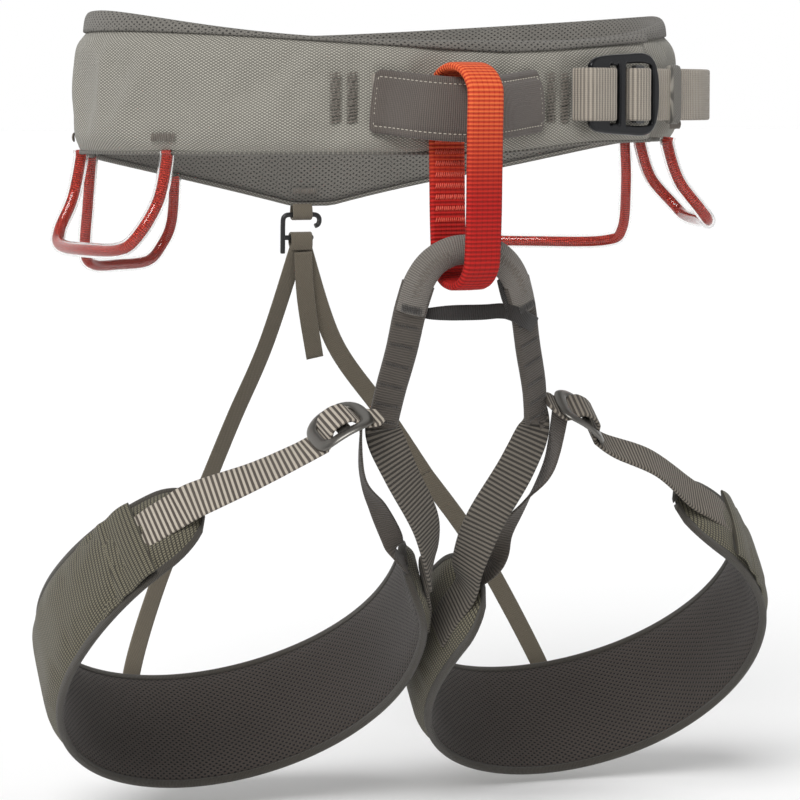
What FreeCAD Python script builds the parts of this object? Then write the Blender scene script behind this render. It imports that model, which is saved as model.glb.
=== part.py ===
"""Climbing harness: padded waist belt, belay loop, leg loops and gear loops.

Millimetres.  The origin is the middle of the waist opening at half belt
height.  +Z is up, the wearer faces -Y and the wearer's left hand is at +X.
"""
import FreeCAD
import Part

import math
import os

os.makedirs("parts", exist_ok=True)

V = FreeCAD.Vector
UP = V(0, 0, 1)
LEFT = 1
RIGHT = -1
SIDES = ((LEFT, "left"), (RIGHT, "right"))

# ---------------------------------------------------------------- main sizes
GAP = 0.3                      # clearance kept between neighbouring pieces
BELT_RX = 157.0                # belt outer half width, side to side
BELT_RY = 112.0                # belt outer half depth, front to rear
BELT_FLARE = 0.0005            # the belt widens downwards by this share per mm
SHELL_T = 4.5                  # belt outer shell thickness
LINER_T = 4.0                  # belt mesh liner thickness
SHELL_TOP_Z = (23.0, 33.5, 29.0)   # shell top edge at front, side and rear
LINER_TOP_Z = (27.0, 42.0, 33.0)   # rolled mesh edge at front, side and rear
BELT_BOTTOM_Z = -23.3          # belt bottom edge in front and at the right
FLAP_LIFT = 5.3                # the belt is this much narrower at its left
BELT_POINT_Z = -53.0           # lowest point of the V at the rear
BINDING_H = 2.6                # bottom edge binding height
FLAP_END = 42.0                # angle of the front flap's free end
BELT_TURN = 377.0              # angle the belt wraps, flap over rear section
CLOSURE_STEP = 9.6             # how far the rear section tucks in
BELT_STEP = 6.5                # angle between belt stations

TIE_IN_MID = V(-16, -134, -5)  # middle of the waist tie-in point
TIE_IN_CORE = (25.0, 3.2)      # tie-in webbing width and thickness
TIE_IN_SLEEVE = (30.0, 8.4)    # protective sleeve over it
TIE_IN_SLOT = (26.0, 4.4)      # room for the webbing inside the sleeve

BELAY_W = 19.0                 # belay loop webbing width
BELAY_T = 3.6                  # belay loop webbing thickness
BELAY_TOP_Z = 16.5
BELAY_BOTTOM_Z = -87.5
BELAY_DEPTH = 33.0             # front strand to rear strand, centre to centre
BELAY_YAW = 10.0               # the loop hangs turned towards its left

ARCH_CORE = (12.0, 3.8)        # folded webbing inside the lower tie-in arch
ARCH_SLEEVE = (14.6, 7.8)      # sleeve over the arch
ARCH_SLOT = (12.8, 4.6)
ARCH_TOP_Z = -69.0             # middle of the arch
BRIDGE_TWIST = 0.40            # how far the bridge's legs turn to the sides
BRIDGE_WEB = ((15.0, 13.0), 3.2)   # bridge webbing, narrowing downwards
JUNCTION = (39.0, -100.0, -153.0)  # where bridge and leg webbing meet

RING_X = 95.0                  # leg ring centre from its mid plane
RING_Y = -22.0
RING_Z = {RIGHT: -260.5, LEFT: -268.0}
RING_RU = 91.0                 # leg ring half width
RING_RV = 98.0                 # leg ring half length, measured in its plane
RING_TILT = 38.0               # leg rings lean down towards the rear
RING_FILL = 6.0                # rings are this much fuller at their inner front
RING_MID_X = 3.0               # the plane halfway between both rings
FRONT_TURN = 0.0020            # how fast that plane bends to the right in front
TURN_FROM_Y = -40.0            # where it starts to bend
PAD_FROM = -38.0               # pad's inner end, angle around the ring
PAD_TO = 252.0                 # pad's outer end
PAD_HALF = 30.5                # half height of the pad at the rear
PAD_SHELL_T = 3.0
PAD_LINER_T = 3.4
PAD_STEP = 6.0

LEG_STRAP = (19.0, 2.0)        # leg webbing width and thickness
LEG_TAIL = (12.0, 1.3)         # thin elastic keeper beside the inner strap
RISER = (9.5, 1.2)             # elastic riser width and thickness
RISER_RING_ANGLE = 102.0       # where a riser meets its leg pad
HOOK_Y = 110.5                 # rear hook plane
HOOK_Z = -60.5                 # rear hook top bar
GEAR_TUBE_R = 3.1              # clear tube outer radius
GEAR_BORE_R = 2.4
GEAR_CORD_R = 2.0
GEAR_DROP = 3.0                # gap between the belt's edge and a tube's end
GEAR_OFF = -3.8                # tube ends lie this far inside the belt's face

BUCKLE_PHI = 27.5              # waist buckle angle on the belt
BUCKLE_Z = 2.0
WAIST_WEB = (25.0, 2.2)        # waist webbing width and thickness


# ------------------------------------------------------------------ helpers
def save(name, shape):
    """Write one named piece."""
    shape.exportStep("parts/" + name + ".step")


def unit(v):
    """The vector scaled to length one."""
    return v * (1.0 / v.Length)


def spline(rows, count):
    """Catmull-Rom points through rows of equal-length number tuples."""
    out = []
    last = len(rows) - 1
    for k in range(count + 1):
        f = last * k / count
        i = min(int(f), last - 1)
        t = f - i
        a = rows[max(i - 1, 0)]
        b = rows[i]
        c = rows[i + 1]
        d = rows[min(i + 2, last)]
        row = []
        for p, q, r, s in zip(a, b, c, d):
            slope0 = (r - p) / 2.0
            slope1 = (s - q) / 2.0
            cube = 2 * q - 2 * r + slope0 + slope1
            square = 3 * r - 3 * q - 2 * slope0 - slope1
            row.append(q + slope0 * t + square * t ** 2 + cube * t ** 3)
        out.append(row)
    return out


def skin(sections):
    """Closed solid through a run of polygons with equal corner counts."""
    wires = []
    for points in sections:
        wires.append(Part.makePolygon(points + [points[0]]))
    solid = Part.makeLoft(wires, True, True)
    if solid.Volume < 0:
        solid.reverse()
    return solid


def box_section(mid, wide, thick, w, t, chamfer=0.0):
    """Rectangle across a strap; a chamfer turns it into a soft octagon."""
    a = w / 2.0
    b = t / 2.0
    if chamfer <= 0:
        corners = ((-a, -b), (a, -b), (a, b), (-a, b))
    else:
        c = chamfer
        corners = ((-a + c, -b), (a - c, -b), (a, -b + c), (a, b - c),
                   (a - c, b), (-a + c, b), (-a, b - c), (-a, -b + c))
    return [mid + wide * p + thick * q for p, q in corners]


def ribbon(stations, w, t, count=16, chamfer=0.0):
    """Strap through (point, face direction) stations, w wide and t thick.

    A pair of widths makes the strap change evenly from the first to the second.
    """
    first, last = w if isinstance(w, tuple) else (w, w)
    rows = []
    for point, face in stations:
        rows.append((point.x, point.y, point.z, face.x, face.y, face.z))
    rows = spline(rows, count)
    mids = [V(r[0], r[1], r[2]) for r in rows]
    faces = [V(r[3], r[4], r[5]) for r in rows]
    sections = []
    for k, mid in enumerate(mids):
        ahead = mids[min(k + 1, count)] - mids[max(k - 1, 0)]
        along = unit(ahead)
        wide = unit(along.cross(faces[k]))
        thick = unit(wide.cross(along))
        here = first + (last - first) * k / count
        sections.append(box_section(mid, wide, thick, here, t, chamfer))
    return skin(sections)


def strip(path, t):
    """Outline of a bent strip t thick along 2-D points, as a closed list."""
    near = []
    far = []
    for k, (p, q) in enumerate(path):
        before = path[max(k - 1, 0)]
        after = path[min(k + 1, len(path) - 1)]
        dp = after[0] - before[0]
        dq = after[1] - before[1]
        size = math.hypot(dp, dq)
        near.append((p - dq / size * t / 2, q + dp / size * t / 2))
        far.append((p + dq / size * t / 2, q - dp / size * t / 2))
    return near + far[::-1] + near[:1]


def bent_strap(path, w, t, place, across):
    """Flat strap of even bends: place(p, q) sets a corner, across its width."""
    corners = [place(p, q) - across * (w / 2) for p, q in strip(path, t)]
    return Part.Face(Part.makePolygon(corners)).extrude(across * w)


def tube(points, radius):
    """Round solid along a smooth curve through the points."""
    curve = Part.BSplineCurve()
    curve.interpolate(points)
    start = curve.value(curve.FirstParameter)
    heading = curve.tangent(curve.FirstParameter)[0]
    ring = Part.Wire(Part.makeCircle(radius, start, heading))
    return Part.Wire(curve.toShape()).makePipeShell([ring], True, True)


def rounded_plate(length, height, thick, radius):
    """Plate centred on the origin with rounded corners, lying in XY."""
    plate = Part.makeBox(length, height, thick, V(-length / 2, -height / 2, 0))
    upright = [e for e in plate.Edges if abs(e.tangentAt(e.FirstParameter).z) > 0.9]
    return plate.makeFillet(radius, upright)


# ---------------------------------------------------------- belt and ring maths
def smooth(f):
    """Ease from 0 to 1."""
    f = min(max(f, 0.0), 1.0)
    return f * f * (3 - 2 * f)


def around(front, side, rear, phi, power):
    """Height of an edge that rises from front and rear towards the sides."""
    a = math.radians(phi)
    end = front if math.cos(a) > 0 else rear
    return end + (side - end) * abs(math.sin(a)) ** power


def shell_top(phi):
    """Height of the shell's top edge."""
    return around(*SHELL_TOP_Z, phi - 5, 1.2)


def liner_top(phi):
    """Height of the rolled mesh edge."""
    return around(*LINER_TOP_Z, phi, 3.0 if math.cos(math.radians(phi)) > 0 else 1.2)


def belt_bottom(phi):
    """Height of the belt's bottom edge, with the V at the rear."""
    turn = (phi + 180.0) % 360.0 - 180.0
    lift = FLAP_LIFT * smooth(turn / 30.0) * smooth((150.0 - turn) / 50.0)
    dip = max(0.0, 1 - max(180.0 - abs(turn) - 4.0, 0.0) / 86.0)
    return BELT_BOTTOM_Z + lift + (BELT_POINT_Z - BELT_BOTTOM_Z) * dip * dip


def tuck(turn):
    """Inward step of the rear section where the front flap covers it."""
    return -CLOSURE_STEP * smooth((turn - 268.0) / 60.0)


def on_belt(phi, z, off=0.0):
    """Point on the belt's outer face, moved outwards by off."""
    a = math.radians(phi)
    grow = 1 - BELT_FLARE * z
    return V((BELT_RX * grow + off) * math.sin(a),
             -(BELT_RY * grow + off) * math.cos(a), z)


def belt_out(phi):
    """Outward direction of the belt at phi."""
    a = math.radians(phi)
    return unit(V(math.sin(a) / BELT_RX, -math.cos(a) / BELT_RY, 0))


def belt_band(profile):
    """Band around the belt; profile(phi) gives (off, z) corners."""
    count = int(BELT_TURN / BELT_STEP)
    sections = []
    for k in range(count + 1):
        turn = BELT_TURN * k / count
        phi = FLAP_END - turn
        shift = tuck(turn)
        sections.append([on_belt(phi, z, off + shift) for off, z in profile(phi)])
    return skin(sections)


def mid_x(y):
    """Mid plane of the leg assembly; the front hangs turned to the right."""
    return RING_MID_X - FRONT_TURN * min(y - TURN_FROM_Y, 0.0) ** 2


def leg(side, x, y, z):
    """Point given from the mid plane; x counts away from the other leg."""
    return V(mid_x(y) + side * x, y, z)


def on_ring(side, angle, h, off=0.0):
    """Point on a leg ring: 0 inner side, 90 rear, 180 outer side, 270 front."""
    a = math.radians(angle)
    tilt = math.radians(RING_TILT)
    fuller = RING_FILL * math.exp(-((angle + 40) / 22.0) ** 2)
    u = (RING_RU + off) * math.cos(a) + fuller
    v = (RING_RV + off) * math.sin(a)
    y = RING_Y + v * math.cos(tilt) + h * math.sin(tilt)
    z = RING_Z[side] - v * math.sin(tilt) + h * math.cos(tilt)
    turn = mid_x(RING_Y + RING_RV * math.sin(a) * math.cos(tilt))
    return V(turn + side * (RING_X - u), y, z)


def ring_out(side, angle):
    """Outward direction of a leg ring."""
    return unit(on_ring(side, angle, 0, 1.0) - on_ring(side, angle, 0, 0.0))


def pad_half(angle):
    """Half height of the leg pad; it narrows towards both ends."""
    if angle < 100:
        return PAD_HALF - 8.5 * ((100 - angle) / 138.0) ** 2
    return PAD_HALF - 12 * ((angle - 100) / 140.0) ** 2


def pad_lift(angle):
    """How far the pad rises out of the ring plane towards its outer end."""
    return 16.0 * max(0.0, (angle - 120) / 120.0) ** 2


def pad_band(side, profile):
    """Band around a leg; profile(half) gives (off, h) corners."""
    count = int((PAD_TO - PAD_FROM) / PAD_STEP)
    sections = []
    for k in range(count + 1):
        angle = PAD_FROM + (PAD_TO - PAD_FROM) * k / count
        lift = pad_lift(angle)
        corners = profile(pad_half(angle))
        sections.append([on_ring(side, angle, h + lift, off) for off, h in corners])
    return skin(sections)


# -------------------------------------------------------------- waist belt
def belt_shell():
    """Puffed outer shell of the belt."""
    def profile(phi):
        low = belt_bottom(phi)
        top = shell_top(phi)
        return ((-SHELL_T, low), (-1.6, low), (0.0, low + 7), (0.0, top - 7),
                (-1.6, top), (-SHELL_T, top))
    save("belt_shell", belt_band(profile))


def belt_liner():
    """Mesh liner against the body."""
    inner = -SHELL_T - GAP - LINER_T
    outer = -SHELL_T - GAP

    def profile(phi):
        low = belt_bottom(phi)
        top = liner_top(phi)
        return ((inner, low + 3), (inner + 1, low), (outer, low), (outer, top),
                (inner + 1, top), (inner, top - 3))
    save("belt_liner", belt_band(profile))


def belt_edge_roll():
    """Liner mesh rolled over the top of the shell."""
    def profile(phi):
        low = shell_top(phi) + GAP
        top = liner_top(phi)
        return ((-SHELL_T, low), (-1.2, low), (-1.0, (low + top) / 2),
                (-2.2, top), (-SHELL_T, top))
    save("belt_edge_roll", belt_band(profile))


def belt_binding():
    """Narrow woven binding along the bottom edge."""
    inner = -SHELL_T - GAP - LINER_T + 0.6

    def profile(phi):
        top = belt_bottom(phi) - GAP
        low = top - BINDING_H
        return ((inner, top), (inner, low + 0.8), (inner + 1, low), (-2.4, low),
                (-1.4, low + 0.8), (-1.4, top))
    save("belt_binding", belt_band(profile))


# --------------------------------------------------------- waist tie-in point
def tie_in_stations():
    """Path of the tie-in webbing: flat on the belt, standing off in front."""
    mid = TIE_IN_MID
    rise = TIE_IN_CORE[1] / 2 + GAP + 1.4
    stations = []
    for phi, lift, z in ((-26.0, rise, 0), (-19.3, rise, -1), (-15.7, rise + 3.6, -2)):
        stations.append((on_belt(phi, z, lift), belt_out(phi)))
    stations.append((V(mid.x - 16, mid.y + 5, mid.z + 1), V(-0.25, -1, 0)))
    stations.append((mid, V(0, -1, 0)))
    stations.append((V(mid.x + 18, mid.y + 3.5, mid.z + 1), V(0.1, -1, 0)))
    for phi, lift, z in ((7.4, rise + 4.0, -2), (11.8, rise, -1), (16.8, rise, 0)):
        stations.append((on_belt(phi, z, lift), belt_out(phi)))
    return stations


def tie_in():
    """Load webbing of the waist tie-in with its sleeve and bar tacks."""
    whole = tie_in_stations()
    save("tie_in_webbing", ribbon(whole, *TIE_IN_CORE, count=32))
    outer = ribbon(whole[1:-1], *TIE_IN_SLEEVE, count=24, chamfer=3.0)
    bore = ribbon(whole, *TIE_IN_SLOT, count=32)
    belt_side = belt_keepout()
    save("tie_in_sleeve", outer.cut(bore).cut(belt_side))
    tacks = []
    for phi, z in ((-23.8, 0.0), (14.9, 0.0)):
        for step in (-1.3, 0.0, 1.3):
            stations = []
            for dz in (-10.5, 10.5):
                point = on_belt(phi + step, z + dz, TIE_IN_CORE[1] + 2 * GAP + 2.2)
                stations.append((point, belt_out(phi + step)))
            tacks.append(ribbon(stations, 2.2, 0.7, count=1))
    save("tie_in_tacks", Part.makeCompound(tacks))


def belt_keepout():
    """Region just inside the belt's outer face, for trimming pieces on it."""
    sections = []
    for phi in range(-40, 41, 4):
        sections.append([on_belt(phi, -40, GAP), on_belt(phi, 40, GAP),
                         on_belt(phi, 40, -20), on_belt(phi, -40, -20)])
    return skin(sections)


# -------------------------------------------------------------- waist buckle
def buckle_place(shape):
    """Move a shape from buckle axes (along belt, up, outwards) to the belt."""
    out = belt_out(BUCKLE_PHI)
    along = UP.cross(out)
    origin = on_belt(BUCKLE_PHI, BUCKLE_Z, 0)
    place = FreeCAD.Placement(FreeCAD.Matrix(
        along.x, UP.x, out.x, origin.x,
        along.y, UP.y, out.y, origin.y,
        along.z, UP.z, out.z, origin.z,
        0, 0, 0, 1))
    moved = shape.copy()
    moved.Placement = place.multiply(moved.Placement)
    return moved


def buckle_strap(path):
    """Waist webbing through (along, outwards) points in buckle axes."""
    w, t = WAIST_WEB
    return bent_strap(path, w, t, lambda p, q: V(p, 0, q), V(0, 1, 0))


def waist_buckle():
    """D-shaped frame with its fixed bar, and the sliding bar in its window."""
    outline = [V(-21, -14, 0), V(-16, -18, 0), V(17, -20, 0), V(23, -16.5, 0),
               V(26, 0, 0), V(23, 16.5, 0), V(17, 20, 0), V(-16, 18, 0), V(-21, 14, 0)]
    face = Part.Face(Part.makePolygon(outline + [outline[0]]))
    frame = face.extrude(V(0, 0, 3.2))
    level = [e for e in frame.Edges if e.BoundBox.ZLength < 0.01]
    frame = frame.makeFillet(0.9, level)
    fixed_gap = Part.makeBox(6, 27, 5, V(-7.5, -13.5, -1))
    slide_gap = Part.makeBox(18, 29, 5, V(3.5, -14.5, -1))
    frame = frame.cut(fixed_gap).cut(slide_gap)
    frame.translate(V(0, 0, 6.0))
    save("waist_buckle_frame", buckle_place(frame))
    slider = rounded_plate(6.0, 27.6, 3.0, 1.2)
    slider.translate(V(12.5, 0, 6.1))
    save("waist_buckle_slider", buckle_place(slider))


def waist_straps():
    """Fixed webbing on the left bar and the strap doubled round the slider."""
    fixed = [(-24.1, 1.6), (-24.0, 5.0), (-23.2, 8.6), (-21, 10.6), (-17, 10.9),
             (-12, 10.9), (-6.6, 10.4), (-4.6, 8.4), (-4.7, 5.4), (-7.0, 3.4),
             (-12, 2.8), (-17, 2.4)]
    save("waist_strap_fixed", buckle_place(buckle_strap(fixed)))
    wrap = [(18.3, 5.0), (18.3, 8.6), (16.8, 10.5), (12.5, 10.9), (8.3, 10.5),
            (6.8, 8.6), (6.8, 5.4), (8.4, 3.0), (12.0, 1.9)]
    save("waist_strap", buckle_place(buckle_strap(wrap)))
    near = ((36.0, 4.3), (40.0, 4.6), (44.5, 5.2), (49.4, 6.4))
    end = ((50.2, 6.7), (54.0, 7.8), (58.0, 8.6), (63.0, 8.8), (68.0, 8.4))
    for name, rows in (("waist_strap_tail", near), ("waist_strap_end", end)):
        stations = []
        for phi, lift in rows:
            stations.append((on_belt(phi, BUCKLE_Z, lift), belt_out(phi)))
        save(name, ribbon(stations, *WAIST_WEB, count=8))


def hip_keeper():
    """Dark elastic keeper round the strap tail, at the end of the flap."""
    stations = []
    for phi in (44.0, 46.5):
        stations.append((on_belt(phi, BUCKLE_Z, 5.4), belt_out(phi)))
    sleeve = ribbon(stations, 30.0, 5.8, count=2, chamfer=0.8)
    stations = []
    for phi in (42.5, 48.0):
        stations.append((on_belt(phi, BUCKLE_Z, 5.4), belt_out(phi)))
    bore = ribbon(stations, 26.6, 4.0, count=2)
    save("hip_keeper", sleeve.cut(bore))


# ---------------------------------------------------------------- gear loops
GEAR_LOOPS = (
    # name, angle of each end, drop, outward bulge
    ("front_right", -59.5, -104.0, 41.0, 18.0),
    ("rear_right", -117.0, -149.0, 45.0, 8.0),
    ("front_left", 50.0, 103.5, 36.0, 22.0),
    ("rear_left", 109.0, 152.0, 39.0, 9.0),
)


def gear_path(start, end, drop, bulge):
    """Curve of one gear loop below the belt's bottom edge."""
    tops = []
    for phi in (start, end):
        tops.append(on_belt(phi, belt_bottom(phi) - BINDING_H - GEAR_DROP, GEAR_OFF))
    first, last = tops
    chord = last - first
    along = unit(V(chord.x, chord.y, 0))
    out = belt_out((start + end) / 2.0)
    level = (first.z + last.z) / 2.0 - drop
    points = [first, first + out * (bulge * 0.25) - UP * (drop * 0.45)]
    low = []
    for base, sign in ((first, 1), (last, -1)):
        corner = base + along * (sign * 3.0) + out * (bulge * 0.75)
        corner.z = level + drop * 0.17
        foot = base + along * (sign * 13.0) + out * bulge
        foot.z = level
        low.append((corner, foot))
    points += [low[0][0], low[0][1]]
    middle = (first + last) * 0.5 + out * (bulge * 1.15)
    middle.z = level - 1.0
    points.append(middle)
    points += [low[1][1], low[1][0]]
    points.append(last + out * (bulge * 0.25) - UP * (drop * 0.45))
    points.append(last)
    return points


def gear_loops():
    """Clear tubes with a ribbed cord inside, and their tacks on the belt."""
    tacks = []
    for name, start, end, drop, bulge in GEAR_LOOPS:
        path = gear_path(start, end, drop, bulge)
        sheath = tube(path, GEAR_TUBE_R).cut(tube(path, GEAR_BORE_R))
        save("gear_loop_" + name + "_sheath", sheath)
        save("gear_loop_" + name + "_cord", tube(path, GEAR_CORD_R))
        for phi in (start, end):
            for dz in (3.0, 6.0):
                stations = []
                for step in (-3.0, 3.0):
                    z = belt_bottom(phi) + dz
                    point = on_belt(phi + step, z, GAP + 0.35 - 1.1 * (7 - dz) / 7)
                    stations.append((point, belt_out(phi + step)))
                tacks.append(ribbon(stations, 1.6, 0.6, count=1))
    save("gear_loop_tacks", Part.makeCompound(tacks))


# ---------------------------------------------------------------- belay loop
def belay_profile(off):
    """Closed outline of the belay loop in its own plane, offset outwards."""
    half = BELAY_DEPTH / 2
    top = BELAY_TOP_Z - BELAY_T / 2 - half * 0.80
    low = BELAY_BOTTOM_Z + BELAY_T / 2 + half * 0.86
    points = []
    for k in range(13):
        a = math.pi * k / 12
        points.append((half * math.cos(a), top + half * 0.80 * math.sin(a)))
    points.append((-half * 0.99, (2 * top + low) / 3))
    points.append((-half * 0.93, (top + 2 * low) / 3))
    for k in range(13):
        a = math.pi + math.pi * k / 12
        points.append((half * 0.86 * math.cos(a), low + half * 0.86 * math.sin(a)))
    points.append((half * 0.93, (top + 2 * low) / 3))
    points.append((half * 0.99, (2 * top + low) / 3))
    moved = []
    count = len(points)
    for k in range(count):
        before = points[k - 1]
        after = points[(k + 1) % count]
        du = after[0] - before[0]
        dz = after[1] - before[1]
        size = math.hypot(du, dz)
        moved.append(V(0, points[k][0] + off * dz / size, points[k][1] - off * du / size))
    curve = Part.BSplineCurve()
    curve.interpolate(Points=moved, PeriodicFlag=True)
    return Part.Face(Part.Wire(curve.toShape()))


def belay_loop():
    """Sewn ring of thick webbing joining the waist and leg tie-in points."""
    place = FreeCAD.Placement(V(TIE_IN_MID.x, TIE_IN_MID.y, 0),
                              FreeCAD.Rotation(UP, BELAY_YAW))
    ring = belay_profile(BELAY_T / 2).cut(belay_profile(-BELAY_T / 2))
    webbing = ring.extrude(V(BELAY_W, 0, 0))
    webbing.translate(V(-BELAY_W / 2, 0, 0))
    webbing.Placement = place.multiply(webbing.Placement)
    save("belay_loop_webbing", webbing)
    tacks = []
    for k in range(6):
        z = -21.0 - 7.0 * k
        tack = Part.makeBox(BELAY_W - 3, 0.7, 2.4)
        tack.translate(V(-BELAY_W / 2 + 1.5, BELAY_DEPTH / 2 + BELAY_T / 2 + 0.35, z))
        tack.Placement = place.multiply(tack.Placement)
        tacks.append(tack)
    save("belay_loop_tacks", Part.makeCompound(tacks))


# ---------------------------------------------------------------- leg bridge
def bridge_stations(reach):
    """Half of the bridge path, from the arch top down one side."""
    rows = ((0.0, -134.0, ARCH_TOP_Z), (9.0, -133.7, -70.0), (18.0, -132.0, -75.2),
            (24.5, -129.5, -84.5), (28.5, -125.0, -98.0), (32.0, -117.0, -116.0),
            (36.5, -108.5, -135.0), (JUNCTION[0], JUNCTION[1], JUNCTION[2] + 2))
    return rows[:reach]


def bridge_face(side, x):
    """Direction that the bridge's flat side looks; it turns outwards downwards."""
    return V(side * BRIDGE_TWIST * min(x / 28.0, 1.0), -1, -0.25)


def bridge_path(reach):
    """Both halves joined, from the wearer's right to the left."""
    half = bridge_stations(reach)
    stations = []
    for x, y, z in reversed(half):
        stations.append((leg(RIGHT, x, y, z), bridge_face(RIGHT, x)))
    for x, y, z in half[1:]:
        stations.append((leg(LEFT, x, y, z), bridge_face(LEFT, x)))
    return stations


def bridge():
    """Lower tie-in arch, its sleeve, the webbing legs and the keeper."""
    save("bridge_arch_core", ribbon(bridge_path(5), *ARCH_CORE, count=40, chamfer=1.4))
    outer = ribbon(bridge_path(5), *ARCH_SLEEVE, count=40, chamfer=3.2)
    bore = ribbon(bridge_path(6), *ARCH_SLOT, count=48, chamfer=1.4)
    save("bridge_sleeve", outer.cut(bore))
    for side, name in SIDES:
        stations = []
        for x, y, z in bridge_stations(8)[4:]:
            stations.append((leg(side, x, y, z - 1.4), bridge_face(side, x)))
        save("bridge_web_" + name, ribbon(stations, *BRIDGE_WEB, count=12))
    y = -123.5
    stations = []
    for side, x in ((RIGHT, 19.0), (RIGHT, 8.0), (LEFT, 8.0), (LEFT, 19.0)):
        stations.append((leg(side, x, y, -98.5), V(0, -1, 0)))
    save("bridge_keeper", ribbon(stations, 7.0, 1.6, count=6))
    tacks = []
    for side, name in SIDES:
        for step in (0.0, 5.5):
            point = leg(side, 27.6 + step * 0.12, -134.2 + step * 0.38, -91.0 - step)
            across = V(side * 0.97, 0, -0.25)
            face = V(0, -1, -0.3)
            stations = [(point - across * 5, face), (point + across * 5, face)]
            tacks.append(ribbon(stations, 1.8, 0.7, count=1))
    save("bridge_tacks", Part.makeCompound(tacks))


# ----------------------------------------------------------------- leg loops
def leg_pads(side, name):
    """Shell, liner and edge binding of one leg pad."""
    inner = -PAD_SHELL_T - GAP - PAD_LINER_T

    def shell(half):
        return ((-PAD_SHELL_T, -half), (-1.2, -half), (0, -half + 5), (0, half - 5),
                (-1.2, half), (-PAD_SHELL_T, half))

    def liner(half):
        outer = -PAD_SHELL_T - GAP
        return ((inner, -half + 3), (inner + 1, -half), (outer, -half), (outer, half),
                (inner + 1, half), (inner, half - 3))
    save("leg_" + name + "_pad_shell", pad_band(side, shell))
    save("leg_" + name + "_pad_liner", pad_band(side, liner))
    edges = []
    for end in (-1, 1):
        def edge(half):
            low = end * (half + GAP)
            high = end * (half + GAP + 1.8)
            return ((inner + 0.6, low), (-0.8, low), (-1.4, high), (inner + 1.4, high))
        edges.append(pad_band(side, edge))
    save("leg_" + name + "_binding", Part.makeCompound(edges))


def ring_station(side, angle, h, off):
    """Strap station lying on the pad's outer face."""
    return (on_ring(side, angle, h + pad_lift(angle), off), ring_out(side, angle))


def leg_straps(side, name):
    """Webbing from the junction to both ends of the pad."""
    rise = LEG_STRAP[1] / 2 + GAP + 0.5
    outer = []
    for angle, off in ((228, rise), (236, rise + 0.2), (243, rise + 0.5), (250, rise + 1.4)):
        outer.append(ring_station(side, angle, 2, off))
    outer.append((leg(side, 103, -94.5, -174), V(side * 0.44, -0.60, 0.66)))
    outer.append((leg(side, 86, -100, -164.5), V(side * 0.52, -0.52, 0.68)))
    outer.append((leg(side, 79.5, -101.5, -161.5), V(side * 0.55, -0.48, 0.68)))
    save("leg_" + name + "_outer_strap", ribbon(outer, *LEG_STRAP, count=24))
    inner = [(leg(side, JUNCTION[0] - 0.5, JUNCTION[1] + 1.5, JUNCTION[2] - 3),
              V(0.2 * side, -1, 0.3))]
    inner.append((leg(side, 29, -97, -176), V(-0.05 * side, -1, 0.2)))
    inner.append((leg(side, 15, -89, -201), V(-0.35 * side, -0.9, 0.1)))
    inner.append((leg(side, 9.5, -77, -223), V(-0.75 * side, -0.6, 0.1)))
    for angle, h, off in ((-33, -3, rise + 1.2), (-24, -6, rise + 0.2), (-14, -9, rise)):
        inner.append((on_ring(side, angle, h, off), ring_out(side, angle)))
    save("leg_" + name + "_inner_strap", ribbon(inner, *LEG_STRAP, count=24))
    tail = [(leg(side, 52, -95, -165), V(0, -1, 0.3)),
            (leg(side, 44, -88, -182), V(0, -1, 0.2)),
            (leg(side, 32, -77, -204), V(-0.5 * side, -0.8, 0)),
            (on_ring(side, -44, 4, -3), ring_out(side, -44))]
    save("leg_" + name + "_tail_strap", ribbon(tail, *LEG_TAIL, count=16))


def leg_buckle(side, name):
    """Two-slot adjuster on the outer strap, with the webbing laced through it."""
    mid = leg(side, 61, -104.5, -151.5)
    face = unit(V(side * 0.575, -0.455, 0.68))
    up = unit(face.cross(leg(side, 79.5, -101.5, -161.5) - mid))
    along = unit(up.cross(face))
    plate = rounded_plate(28, 25.5, 2.6, 5)
    level = [e for e in plate.Edges if e.BoundBox.ZLength < 0.01]
    plate = plate.makeFillet(0.8, level)
    for x in (-7.2, 7.2):
        slot = rounded_plate(6.0, 20.6, 6, 1)
        slot.translate(V(x, 0, -2))
        plate = plate.cut(slot)
    plate.Placement = FreeCAD.Placement(FreeCAD.Matrix(
        along.x, up.x, face.x, mid.x, along.y, up.y, face.y, mid.y,
        along.z, up.z, face.z, mid.z, 0, 0, 0, 1))
    save("leg_" + name + "_buckle", plate)
    path = [(-14, -2.4), (-10.5, -2.2), (-8.2, -0.4), (-7.0, 2.0), (-5.0, 4.2),
            (-1.5, 4.8), (1.5, 4.8), (5.0, 4.2), (7.0, 2.0), (8.2, -0.4), (10.5, -2.2),
            (16.5, -2.6)]
    strap = bent_strap(path, LEG_STRAP[0] - 1, 1.8,
                       lambda p, q: mid + along * p + face * q, up)
    save("leg_" + name + "_buckle_strap", strap)


def leg_patches(side, name):
    """Fabric patch over the outer strap's end and the riser's pocket."""
    stations = [ring_station(side, angle, 2, 4.4) for angle in (219, 224, 229, 234)]
    save("leg_" + name + "_strap_patch", ribbon(stations, 24, 2.2, count=6))
    middle = ring_out(side, RISER_RING_ANGLE)
    stations = []
    for h in (20, 2):
        stations.append((on_ring(side, RISER_RING_ANGLE, h, 2.4), middle))
    pocket = ribbon(stations, 16, 4.0, count=1)
    stations = []
    for h in (24, 0):
        stations.append((on_ring(side, RISER_RING_ANGLE, h, 2.4), middle))
    save("leg_" + name + "_riser_pocket", pocket.cut(ribbon(stations, 11.5, 2.4, count=1)))


def legs():
    """Both leg loops."""
    for side, name in SIDES:
        leg_pads(side, name)
        leg_straps(side, name)
        leg_buckle(side, name)
        leg_patches(side, name)


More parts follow.
